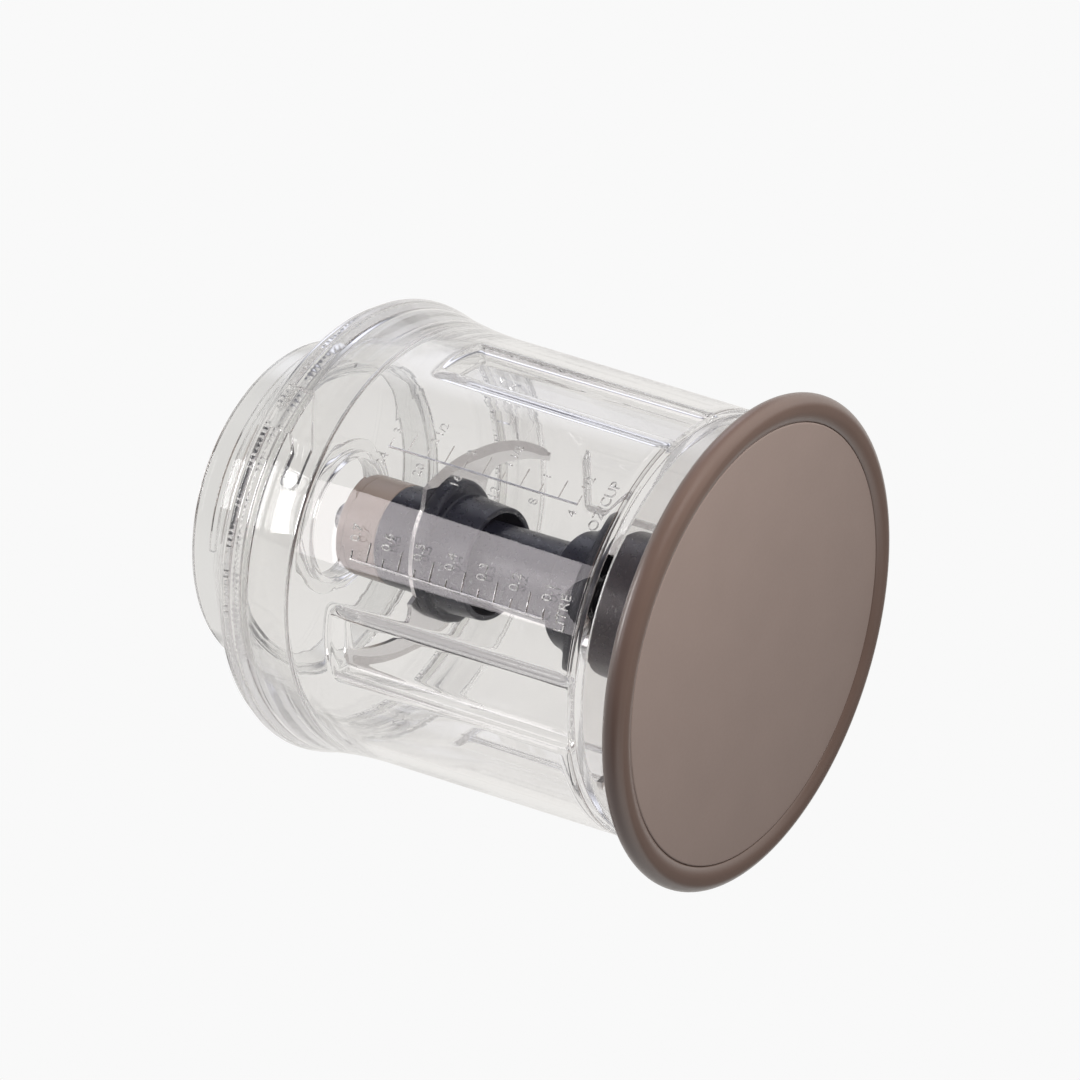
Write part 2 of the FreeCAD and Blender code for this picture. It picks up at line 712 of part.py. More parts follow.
def make_drive_coupling():
    """Drum that carries the drive from the shaft to the collar."""
    body = rod(collar_radius, collar_top, coupling_seam)
    spigot = rod(coupling_spigot_radius, collar_top - COUPLING_SPIGOT, collar_top)
    bore = rod(SHAFT_RADIUS + ASSEMBLY_GAP, collar_top - COUPLING_SPIGOT - OVERCUT,
               coupling_seam + OVERCUT)
    return body.fuse(spigot).cut(bore)


def make_coupling_cap():
    """Rounded end cap of the coupling."""
    shoulder = coupling_top - COUPLING_ROUND
    arc = COUPLING_ROUND * (1 - math.sqrt(0.5))
    return turned(
        (SHAFT_RADIUS + ASSEMBLY_GAP, coupling_seam),
        (collar_radius, coupling_seam),
        (collar_radius, shoulder),
        (collar_radius - arc, coupling_top - arc, collar_radius - COUPLING_ROUND, coupling_top),
        (SHAFT_RADIUS + ASSEMBLY_GAP, coupling_top),
    )


def make_drive_shaft():
    """Steel stub that the drive unit grips: plain below, fluted above, with a chamfered end."""
    stub = turned(
        (0, shaft_root + ASSEMBLY_GAP),
        (SHAFT_RADIUS, shaft_root + ASSEMBLY_GAP),
        (SHAFT_RADIUS, shaft_top - FLUTE_CHAMFER),
        (SHAFT_RADIUS - FLUTE_CHAMFER, shaft_top),
        (0, shaft_top),
    )
    flute = Part.makeCylinder(FLUTE_RADIUS, shaft_top - coupling_top + OVERCUT,
                              Vector(SHAFT_RADIUS, 0, coupling_top))
    for cut in around(flute, FLUTE_COUNT):
        stub = stub.cut(cut)
    return stub


# Lid

def make_lid_shell():
    """Clear lid: skirt in the mouth, edge on the rim, sloping shoulder and flat deck, with
    bayonet lugs on the skirt and a groove for the seal."""
    skirt_inner = skirt_radius - SKIRT_WALL
    skirt_bottom = ledge_z + SKIRT_LEDGE_GAP
    seal_bottom = rim_top - SEAL_BELOW_RIM
    seal_top = seal_bottom + SEAL_HEIGHT
    seal_floor = skirt_radius - SEAL_DEPTH
    socket_hole = socket_radius + ASSEMBLY_GAP
    slope_thickness = LID_WALL * math.sqrt(2)
    shell = turned(
        (skirt_inner, skirt_bottom),
        (skirt_radius, skirt_bottom),
        (skirt_radius, seal_bottom),
        (seal_floor, seal_bottom),
        (seal_floor, seal_top),
        (skirt_radius, seal_top),
        (skirt_radius, lid_seat),
        (lid_edge_radius, lid_seat),
        (lid_edge_radius, lid_edge_top),
        (deck_radius, deck_z),
        (socket_hole, deck_z),
        (socket_hole, deck_z - LID_WALL),
        (deck_radius - slope_thickness, deck_z - LID_WALL),
        (skirt_inner, lid_edge_top + lid_edge_radius - skirt_inner - slope_thickness),
    )
    for lug in around(lid_lug(), LUG_COUNT, LUG_ANGLE):
        shell = shell.fuse(lug)
    return shell


def make_lid_collar():
    """Clear collar welded on the deck, which takes the drive unit. Short ribs outside its root
    are the drive unit's bayonet."""
    inner = lid_collar_radius - LID_COLLAR_WALL
    collar = turned(
        (inner, deck_z),
        (lid_collar_radius + COLLAR_ROOT_STEP, deck_z),
        (lid_collar_radius, lid_top),
        (inner, lid_top),
    )
    rib = sector(lid_collar_radius - LID_COLLAR_WALL / 2, lid_collar_radius + BAYONET_RIB_STEP,
                 deck_z, deck_z + BAYONET_RIB_HEIGHT,
                 BAYONET_RIB_ANGLE - BAYONET_RIB_SPAN / 2, BAYONET_RIB_SPAN)
    for one in around(rib, BAYONET_RIB_COUNT):
        collar = collar.fuse(one)
    return collar


def lid_lug():
    """Round bayonet lug on the -Y side of the skirt."""
    start = Vector(0, -skirt_radius + SKIRT_WALL / 2, lug_z)
    length = SKIRT_WALL + LUG_REACH + TURNING_GAP
    lug = Part.makeCylinder(CHANNEL_RADIUS - TURNING_GAP, length, start, Vector(0, -1, 0))
    return lug.common(rod(lug_end_radius, lug_z - CHANNEL_RADIUS, lug_z + CHANNEL_RADIUS))


def make_lid_socket():
    """Clear ring that hangs in the middle of the deck by its flange. The drive unit reaches
    through it to the shaft of the blades."""
    deck_bottom = deck_z - LID_WALL
    well = ring(socket_bore, socket_radius, deck_bottom - SOCKET_DROP, deck_z)
    flange = ring(socket_bore, socket_radius + SOCKET_FLANGE_WIDTH, deck_bottom - SOCKET_FLANGE_HEIGHT,
                  deck_bottom)
    return well.fuse(flange)


def make_lid_seal():
    """Soft seal in the groove of the skirt."""
    bottom = rim_top - SEAL_BELOW_RIM
    outer = mouth_radius - TURNING_GAP / 2
    inner = skirt_radius - SEAL_DEPTH + ASSEMBLY_GAP
    return ring(inner, outer, bottom + ASSEMBLY_GAP, bottom + SEAL_HEIGHT - ASSEMBLY_GAP)


# All nodes

save("base_plate", make_base_plate())
save("base_ring", make_base_ring())
save("jar", make_jar())
save("spindle_pin", make_spindle_pin())
save("lower_hub", make_lower_hub())
save("lower_blade", make_lower_blade())
save("lower_clamp_ring", make_lower_ring())
save("lower_clamp_screws", make_lower_screws())
save("lower_bush", make_bush(bell_roof + BUSH_INSET / 3))
save("upper_bush", make_bush(pin_top - BUSH_INSET - BUSH_LENGTH))
save("thrust_pad", make_thrust_pad())
save("upper_sleeve", make_upper_sleeve())
save("upper_blade", make_upper_blade())
save("upper_blade_rivets", make_upper_rivets())
save("upper_collar", make_upper_collar())
save("drive_coupling", make_drive_coupling())
save("coupling_cap", make_coupling_cap())
save("drive_shaft", make_drive_shaft())
save("lid_shell", make_lid_shell())
save("lid_collar", make_lid_collar())
save("lid_socket", make_lid_socket())
save("lid_seal", make_lid_seal())
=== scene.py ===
import math

import bpy
import numpy as np
from mathutils import Matrix, Vector


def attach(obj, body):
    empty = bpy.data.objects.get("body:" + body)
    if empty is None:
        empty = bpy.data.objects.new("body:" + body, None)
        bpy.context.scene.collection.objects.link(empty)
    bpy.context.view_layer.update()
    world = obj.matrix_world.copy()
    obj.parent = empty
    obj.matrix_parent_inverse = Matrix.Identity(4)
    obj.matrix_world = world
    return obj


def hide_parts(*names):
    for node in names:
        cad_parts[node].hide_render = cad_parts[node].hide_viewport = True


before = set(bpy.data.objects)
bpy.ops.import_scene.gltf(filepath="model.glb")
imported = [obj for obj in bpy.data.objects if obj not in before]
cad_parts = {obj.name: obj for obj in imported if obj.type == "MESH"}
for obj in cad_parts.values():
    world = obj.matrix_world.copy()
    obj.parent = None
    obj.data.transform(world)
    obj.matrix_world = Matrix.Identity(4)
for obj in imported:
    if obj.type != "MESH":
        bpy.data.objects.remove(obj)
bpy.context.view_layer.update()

# Looks of the chopper bowl. Sizes here are in millimetres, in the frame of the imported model, and
# are turned into metres where a mesh is made. Angles are in degrees, counted anticlockwise from
# the -Y side as seen from above.
MM = 0.001


# Camera

LENS = 106.67
SENSOR = 36.0
CAMERA_PLACE = (-0.1531, -0.7369, -0.3895)
CAMERA_RIGHT = (0.3928, 0.4287, -0.8137)
CAMERA_FORWARD = (0.1840, 0.8302, 0.5262)


def make_camera():
    data = bpy.data.cameras.new("camera")
    data.lens = LENS
    data.sensor_width = SENSOR
    data.clip_start = 0.01
    data.clip_end = 50
    camera = bpy.data.objects.new("camera", data)
    forward = Vector(CAMERA_FORWARD).normalized()
    right = Vector(CAMERA_RIGHT)
    right = (right - forward * right.dot(forward)).normalized()
    up = right.cross(forward)
    turned = Matrix((right, up, -forward)).transposed().to_4x4()
    camera.matrix_world = Matrix.Translation(CAMERA_PLACE) @ turned
    bpy.context.scene.collection.objects.link(camera)
    bpy.context.scene.camera = camera


make_camera()

scene = bpy.context.scene
scene.view_settings.view_transform = "Standard"
scene.view_settings.look = "None"
scene.cycles.max_bounces = 160
scene.cycles.transmission_bounces = 150
scene.cycles.glossy_bounces = 150
scene.cycles.diffuse_bounces = 3
scene.cycles.transparent_max_bounces = 24
scene.cycles.blur_glossy = 0.3
scene.cycles.sample_clamp_indirect = 6


# Shapes

# Steps of a rounded corner, and how far past it a point keeps the face beside it flat
ROUND_STEPS = 4
SUPPORT = 0.12
COLUMNS = 256
SHARP = 35.0


def rounded(corners, closed=True):
    """Points of a profile. A corner is (radius, height) or (radius, height, fillet)."""
    points = []
    count = len(corners)
    for index, corner in enumerate(corners):
        here = np.array(corner[:2], float)
        fillet = corner[2] if len(corner) > 2 else 0
        at_end = not closed and index in (0, count - 1)
        if fillet <= 0 or at_end:
            points.append(tuple(here))
            continue
        before = np.array(corners[index - 1][:2], float) - here
        after = np.array(corners[(index + 1) % count][:2], float) - here
        before_length = np.linalg.norm(before)
        after_length = np.linalg.norm(after)
        before /= before_length
        after /= after_length
        half = math.acos(np.clip(before @ after, -1, 1)) / 2
        reach = min(fillet / math.tan(half), 0.49 * before_length, 0.49 * after_length)
        radius = reach * math.tan(half)
        centre = here + (before + after) / np.linalg.norm(before + after) * radius / math.sin(half)
        start = here + before * reach - centre
        sweep = math.pi - 2 * half
        side = 1 if before[0] * after[1] - before[1] * after[0] < 0 else -1
        if before_length > 2 * (reach + SUPPORT):
            points.append(tuple(here + before * (reach + SUPPORT)))
        for step in range(ROUND_STEPS + 1):
            angle = side * sweep * step / ROUND_STEPS
            cosine = math.cos(angle)
            sine = math.sin(angle)
            turned = (start[0] * cosine - start[1] * sine, start[0] * sine + start[1] * cosine)
            points.append((centre[0] + turned[0], centre[1] + turned[1]))
        if after_length > 2 * (reach + SUPPORT):
            points.append(tuple(here + after * (reach + SUPPORT)))
    return points


def arc(start, middle, end, steps):
    """Points of the arc through three points, without its start."""
    (ax, ay), (bx, by), (cx, cy) = start, middle, end
    d = 2 * (ax * (by - cy) + bx * (cy - ay) + cx * (ay - by))
    a2 = ax * ax + ay * ay
    b2 = bx * bx + by * by
    c2 = cx * cx + cy * cy
    ux = (a2 * (by - cy) + b2 * (cy - ay) + c2 * (ay - by)) / d
    uy = (a2 * (cx - bx) + b2 * (ax - cx) + c2 * (bx - ax)) / d
    radius = math.hypot(ax - ux, ay - uy)
    first = math.atan2(ay - uy, ax - ux)
    sweep = math.remainder(math.atan2(cy - uy, cx - ux) - first, math.tau)
    return [(ux + radius * math.cos(first + sweep * step / steps),
             uy + radius * math.sin(first + sweep * step / steps)) for step in range(1, steps + 1)]


def on_circle(radius, angle, height):
    turned_by = math.radians(angle)
    return (radius * math.sin(turned_by), -radius * math.cos(turned_by), height)


def add_mesh(name, points, faces, sharp=SHARP):
    """New object from points in millimetres. Edges sharper than the angle stay crisp."""
    mesh = bpy.data.meshes.new(name)
    mesh.from_pydata((np.asarray(points, float) * MM).tolist(), [], faces)
    mesh.validate()
    mesh.shade_smooth()
    mesh.set_sharp_from_angle(angle=math.radians(sharp))
    piece = bpy.data.objects.new(name, mesh)
    scene.collection.objects.link(piece)
    return piece


def lofted(name, rows, closed=True, sharp=SHARP):
    """Closed skin over rows of points that run round the axis. A row of one point is a pole."""
    points = []
    starts = []
    for row in rows:
        starts.append(len(points))
        points.extend(row)
    faces = []
    count = len(rows)
    for index in range(count if closed else count - 1):
        low = starts[index]
        high = starts[(index + 1) % count]
        low_size = len(rows[index])
        high_size = len(rows[(index + 1) % count])
        around = max(low_size, high_size)
        for column in range(around):
            after = (column + 1) % around
            if low_size == 1:
                faces.append((low, high + after, high + column))
            elif high_size == 1:
                faces.append((low + column, low + after, high))
            else:
                faces.append((low + column, low + after, high + after, high + column))
    return add_mesh(name, points, faces, sharp)


def groove(column):
    """Share of the full depth that a column of a ribbed band has. No two grooves are alike."""
    share = (0.0, 0.5, 1.0, 0.5)[column % 4]
    return share * (0.6 + 0.4 * math.sin(7.3 * (column // 4)))


def lathe(name, profile, closed=True, columns=COLUMNS, ribs=None):
    """Solid of revolution. Its profile runs anticlockwise seen with the axis on the left. Ribs are
    given as the radii and heights that they lie between, and how deep the grooves are."""
    near, far, low, high, groove_depth = ribs or (0, 0, 0, 0, 0)
    angles = [360.0 * column / columns for column in range(columns)]
    rows = []
    for radius, height in profile:
        if radius < 1e-6:
            rows.append([(0.0, 0.0, height)])
            continue
        depth = 0.0
        if near < radius < far and low <= height <= high:
            depth = groove_depth
        rows.append([on_circle(radius - depth * groove(column), angle, height)
                     for column, angle in enumerate(angles)])
    return lofted(name, rows, closed)


def joined(piece, others, operation):
    """Adds other pieces to a piece, or cuts them out of it, and removes them."""
    for other in others:
        modifier = piece.modifiers.new("join", "BOOLEAN")
        modifier.operation = operation
        modifier.solver = "MANIFOLD"
        modifier.object = other
        bpy.context.view_layer.update()
        evaluated = piece.evaluated_get(bpy.context.evaluated_depsgraph_get())
        mesh = bpy.data.meshes.new_from_object(evaluated)
        piece.modifiers.clear()
        old = piece.data
        name = old.name
        piece.data = mesh
        bpy.data.meshes.remove(old)
        mesh.name = name
    for other in others:
        bpy.data.objects.remove(other)
    piece.data.shade_smooth()
    piece.data.set_sharp_from_angle(angle=math.radians(SHARP))
    return piece


def smooth_min(a, b, width):
    """Smaller of two values, rounded where they are nearly equal."""
    blend = np.maximum(width - np.abs(a - b), 0) / width
    return np.minimum(a, b) - blend * blend * width / 4


# Materials

def new_material(name):
    material = bpy.data.materials.new(name)
    material.use_nodes = True
    tree = material.node_tree
    tree.nodes.clear()
    output = tree.nodes.new("ShaderNodeOutputMaterial")
    return material, tree, output


def noise(tree, scale, detail=3.0, stretch=(1, 1, 1)):
    """Noise in the piece's own space."""
    place = tree.nodes.new("ShaderNodeTexCoord")
    mapping = tree.nodes.new("ShaderNodeMapping")
    mapping.inputs["Scale"].default_value = stretch
    texture = tree.nodes.new("ShaderNodeTexNoise")
    texture.inputs["Scale"].default_value = scale
    texture.inputs["Detail"].default_value = detail
    tree.links.new(place.outputs["Object"], mapping.inputs["Vector"])
    tree.links.new(mapping.outputs["Vector"], texture.inputs["Vector"])
    return texture.outputs["Fac"]


def spread(tree, value, low, high, start=0.3, end=0.7):
    """Maps a noise value to a range."""
    node = tree.nodes.new("ShaderNodeMapRange")
    node.inputs["From Min"].default_value = start
    node.inputs["From Max"].default_value = end
    node.inputs["To Min"].default_value = low
    node.inputs["To Max"].default_value = high
    tree.links.new(value, node.inputs["Value"])
    return node.outputs["Result"]


def mixed_colour(tree, factor, first, second):
    node = tree.nodes.new("ShaderNodeMix")
    node.data_type = "RGBA"
    node.inputs["A"].default_value = (*first, 1)
    node.inputs["B"].default_value = (*second, 1)
    tree.links.new(factor, node.inputs["Factor"])
    return node.outputs["Result"]


def bump(tree, value, strength, distance):
    node = tree.nodes.new("ShaderNodeBump")
    node.inputs["Strength"].default_value = strength
    node.inputs["Distance"].default_value = distance
    tree.links.new(value, node.inputs["Height"])
    return node.outputs["Normal"]


def solid_plastic(name, colour, other_colour, roughness, grain=0.0, specular=0.5, coat=0.0,
                  coat_roughness=0.1):
    """Opaque moulded plastic with slight colour and gloss variation and a fine grain."""
    material, tree, output = new_material(name)
    shader = tree.nodes.new("ShaderNodeBsdfPrincipled")
    shader.inputs["Specular IOR Level"].default_value = specular
    shader.inputs["Coat Weight"].default_value = coat
    shader.inputs["Coat Roughness"].default_value = coat_roughness
    cloudy = noise(tree, 60.0)
    tree.links.new(mixed_colour(tree, spread(tree, cloudy, 0, 1), colour, other_colour),
                   shader.inputs["Base Color"])
    small = noise(tree, 900.0, 2.0)
    tree.links.new(spread(tree, small, roughness - 0.04, roughness + 0.04),
                   shader.inputs["Roughness"])
    if grain > 0:
        tree.links.new(bump(tree, noise(tree, 2500.0, 2.0), grain, 0.0001),
                       shader.inputs["Normal"])
    tree.links.new(shader.outputs["BSDF"], output.inputs["Surface"])
    return material


def clear_plastic(name, tint, ior=1.52, roughness=0.0, wave=0.05, lean=0.0, lean_top=0.0):
    """Clear moulded plastic. Shadow rays pass through it. With a lean, walls below lean_top, in
    metres, are shaded as if they leaned outwards by that slope."""
    material, tree, output = new_material(name)
    shader = tree.nodes.new("ShaderNodeBsdfPrincipled")
    shader.inputs["Transmission Weight"].default_value = 1.0
    shader.inputs["IOR"].default_value = ior
    shader.inputs["Roughness"].default_value = roughness
    cloudy = spread(tree, noise(tree, 25.0, 2.0), 0, 1)
    darker = tuple(0.985 * part for part in tint)
    tree.links.new(mixed_colour(tree, cloudy, tint, darker), shader.inputs["Base Color"])
    flow = bump(tree, noise(tree, 45.0, 1.0, (1, 1, 0.5)), wave, 0.0006)
    tree.links.new(flow, shader.inputs["Normal"])
    if lean:
        place = tree.nodes.new("ShaderNodeTexCoord")
        split = tree.nodes.new("ShaderNodeSeparateXYZ")
        tree.links.new(place.outputs["Object"], split.inputs["Vector"])
        rise = spread(tree, split.outputs["Z"], 0, lean * lean_top, 0, lean_top)
        leaning = bump(tree, rise, 1.0, 1.0)
        tree.links.new(flow, leaning.node.inputs["Normal"])
        tree.links.new(leaning, shader.inputs["Normal"])
    clear = tree.nodes.new("ShaderNodeBsdfTransparent")
    clear.inputs["Color"].default_value = (0.93, 0.93, 0.93, 1)
    path = tree.nodes.new("ShaderNodeLightPath")
    either = tree.nodes.new("ShaderNodeMixShader")
    tree.links.new(path.outputs["Is Shadow Ray"], either.inputs["Fac"])
    tree.links.new(shader.outputs["BSDF"], either.inputs[1])
    tree.links.new(clear.outputs["BSDF"], either.inputs[2])
    tree.links.new(either.outputs["Shader"], output.inputs["Surface"])
    return material


def ground_steel(name, colour, roughness, stretch, shade=0.8):
    """Steel with fine parallel grinding marks. Shade is how dark the marks are."""
    material, tree, output = new_material(name)
    shader = tree.nodes.new("ShaderNodeBsdfPrincipled")
    shader.inputs["Metallic"].default_value = 1.0
    marks = noise(tree, 900.0, 4.0, stretch)
    darker = tuple(shade * part for part in colour)
    tree.links.new(mixed_colour(tree, spread(tree, marks, 0, 1), colour, darker),
                   shader.inputs["Base Color"])
    tree.links.new(spread(tree, marks, roughness - 0.06, roughness + 0.08),
                   shader.inputs["Roughness"])
    tree.links.new(bump(tree, marks, 0.12, 0.00005), shader.inputs["Normal"])
    tree.links.new(shader.outputs["BSDF"], output.inputs["Surface"])
    return material


JAR_TINT = (0.992, 0.99, 0.986)
clear_jar = clear_plastic("clear_jar", JAR_TINT, wave=0.03, lean=0.07, lean_top=0.0205)
clear_lid = clear_plastic("clear_lid", (0.98, 0.98, 0.976), wave=0.04)
clear_collar = clear_plastic("clear_collar", (0.9, 0.905, 0.9), wave=0.04)
clear_seal = clear_plastic("clear_seal", (0.9, 0.9, 0.885), ior=1.41, roughness=0.25)
taupe_satin = solid_plastic("taupe_satin", (0.298, 0.236, 0.212), (0.286, 0.227, 0.204), 0.46,
                            grain=0.1, specular=0.32)
# The soft bead has the disc's taupe made darker: the darkening is painted shade, for the shade in
# the groove beside the disc
taupe_soft = solid_plastic("taupe_soft", (0.148, 0.101, 0.083), (0.138, 0.094, 0.077), 0.32,
                           specular=0.8, coat=0.12, coat_roughness=0.2)
taupe_gloss = solid_plastic("taupe_gloss", (0.23, 0.185, 0.16), (0.215, 0.172, 0.15), 0.22)
charcoal = solid_plastic("charcoal_plastic", (0.010, 0.0105, 0.018), (0.008, 0.0085, 0.015), 0.3,
                         specular=0.7)
blade_steel = ground_steel("blade_steel", (0.98, 0.965, 0.955), 0.14, (1, 14, 1), shade=0.92)
blade_bevel = ground_steel("blade_bevel", (0.74, 0.71, 0.7), 0.22, (14, 1, 1), shade=0.88)
plain_steel = ground_steel("turned_steel", (0.58, 0.58, 0.58), 0.22, (1, 1, 18))
bush_plastic = solid_plastic("bush_plastic", (0.62, 0.62, 0.6), (0.58, 0.58, 0.56), 0.38)


def finish_piece(piece, body, material, slot, *nodes):
    """Gives a piece its material and its body, and hides the CAD nodes that it stands for."""
    piece.data.materials.clear()
    piece.data.materials.append(material)
    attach(piece, body)
    if nodes:
        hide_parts(*nodes)


# Heights and radii that the pieces share, as packed

FOOT_BOTTOM = 3.3
FLOOR_BOTTOM = 19.7
FOOT_LINE = 21.1
FLOOR_TOP = 22.5
CORNER_TOP = 26.1
BOSS_TOP = 42.0
PIN_HOLE_BOTTOM = 21.0
NECK_START = 96.0
LEDGE = 112.4
LUG_Z = 118.5
RIM_TOP = 131.0
DECK_TOP = 146.8
LID_TOP = 157.2

PIN_HOLE = 4.03
FOOT_RADIUS = 58.5
FOOT_INNER = 55.7
BODY_RADIUS = 59.6
HIGH_RADIUS = 61.9
FLARE_MIDDLE = (62.98, 111.7)
FLARE_TOP = (64.9, 123.0)
RIM_RADIUS = 66.4
INNER_LOW = 57.0
INNER_HIGH = 59.3
MOUTH_RADIUS = 60.7
CHANNEL_FLOOR = 62.2
SKIRT_RADIUS = 60.35

# Grooved band of the lid's skirt: how many ribs, and where they lie and how deep they are
SKIRT_RIBS = 228
RIB_BAND = (60.0, 60.5, 129.1, 130.7, 0.35)

# Sunk panels. The outer face sinks by the depth, the inner one stands in by the bump's depth.
PANEL_DISTANCE = 58.87
PANEL_HALF = 9.32
PANEL_DEPTH = 3.2
PANEL_LOW = 21.6
PANEL_HIGH = 97.0
PANEL_SLOPE = 0.71875
PANEL_WIDENING = 3.2
BUMP_DEPTH = 5.8
OUTER_SOFTNESS = 0.75
INNER_SOFTNESS = 3.0
BODY_TAPER = 0.0307
PANEL_ANGLES = (45.0, 135.0, 225.0, 315.0)


# Base cap

def make_base():
    plate = lathe("base_disc", rounded([
        (0, 1.2),
        (60.76, 1.2, 0.45),
        (60.76, 3.2, 0.3),
        (55.35, 3.2, 0.3),
        (55.35, 7.2, 0.3),
        (54.35, 9.2, 0.3),
        (53.35, 9.2, 0.3),
        (53.35, 3.2, 0.3),
        (0, 3.2),
    ], closed=False), closed=False)
    finish_piece(plate, "base", taupe_satin, "taupe_satin", "base_plate")
    bead = [(60.86, 3.25), (60.86, 1.45), (61.05, 1.16)]
    bead += arc((61.05, 1.16), (62.3, 0.42), (63.9, 0.0), 6)
    bead += [(64.5, 0.0), (65.1, 0.0)]
    bead += arc((65.1, 0.0), (68.3, 3.2), (65.1, 6.4), 24)
    bead += [(63.6, 6.15), (62.75, 5.95), (62.55, 5.82), (62.45, 5.9)]
    bead += [(62.45, 6.6), (62.38, 6.85), (62.2, 6.98), (62.0, 7.0)]
    bead += [(59.4, 7.0), (59.1, 6.97), (58.93, 6.85), (58.87, 6.6), (58.87, 3.4)]
    bead += [(58.95, 3.3), (60.75, 3.3)]
    ring = lathe("base_bead", bead)
    # The bead's darker taupe is painted shade of the groove beside the disc
    finish_piece(ring, "base", taupe_soft, "taupe_soft", "base_ring")


# Jar

def fine(start, end, step):
    """Evenly spaced values from start to end."""
    count = max(1, round(abs(end - start) / step))
    return [start + (end - start) * index / count for index in range(count + 1)]


# Distance of the last close column from a panel's middle, the radius that it is meant at, and the
# radius from which the columns follow the panels
EDGE_COLUMN = 16.3
COLUMN_RADIUS = 60.75
CLOSE_FROM = 50.0


def jar_columns():
    """Angles of the jar's columns of points within one quarter, about a panel's middle. The
    columns are close together where the panel's edges are."""
    across = fine(0, 4.5, 1.5)[:-1] + fine(4.5, 6.5, 0.5)[:-1] + fine(6.5, 9.9, 0.2)[:-1]
    across += fine(9.9, EDGE_COLUMN, 0.4)
    half = [math.degrees(math.asin(x / COLUMN_RADIUS)) for x in across]
    gap = fine(half[-1], 45.0, 2.4)[1:]
    right = half + gap
    return [-angle for angle in reversed(right[1:-1])] + right


QUARTER = np.array(jar_columns())


def jar_row(radius, height, surface):
    """One row of the jar. The surface is outer, inner or None for a plain circle."""
    if radius < 1e-6:
        return [(0.0, 0.0, height)]
    row = []
    edge = math.degrees(math.asin(EDGE_COLUMN / COLUMN_RADIUS))
    x = COLUMN_RADIUS * np.sin(np.radians(QUARTER))
    inside = np.abs(QUARTER) <= edge + 1e-6
    if radius >= CLOSE_FROM:
        edge_here = math.degrees(math.asin(EDGE_COLUMN / radius))
        scale = (45 - edge_here) / (45 - edge)
        outside_angle = np.sign(QUARTER) * (edge_here + (np.abs(QUARTER) - edge) * scale)
        x = np.where(inside, x, radius * np.sin(np.radians(outside_angle)))
        y = np.sqrt(np.maximum(radius * radius - x * x, 0))
        if surface is not None:
            distance = PANEL_DISTANCE + (height - FOOT_LINE) * BODY_TAPER
            if surface == "outer":
                margins = (PANEL_HALF - np.abs(x), height - PANEL_LOW, PANEL_HIGH - height)
                depth = PANEL_DEPTH
                softness = OUTER_SOFTNESS
            else:
                margins = (PANEL_HALF + PANEL_WIDENING - np.abs(x),
                           height - PANEL_LOW + PANEL_WIDENING,
                           PANEL_HIGH + PANEL_WIDENING - height)
                depth = BUMP_DEPTH
                softness = INNER_SOFTNESS
            reach = smooth_min(smooth_min(margins[0], margins[1], softness), margins[2], softness)
            level = smooth_min(reach / PANEL_SLOPE, depth, softness)
            y = smooth_min(y, distance - level, softness)
    else:
        x = radius * np.sin(np.radians(QUARTER))
        y = radius * np.cos(np.radians(QUARTER))
    for angle in PANEL_ANGLES:
        turned_by = math.radians(angle)
        cosine = math.cos(turned_by)
        sine = math.sin(turned_by)
        row.extend(zip((x * cosine + y * sine).tolist(), (x * sine - y * cosine).tolist(),
                       [height] * len(x)))
    return row


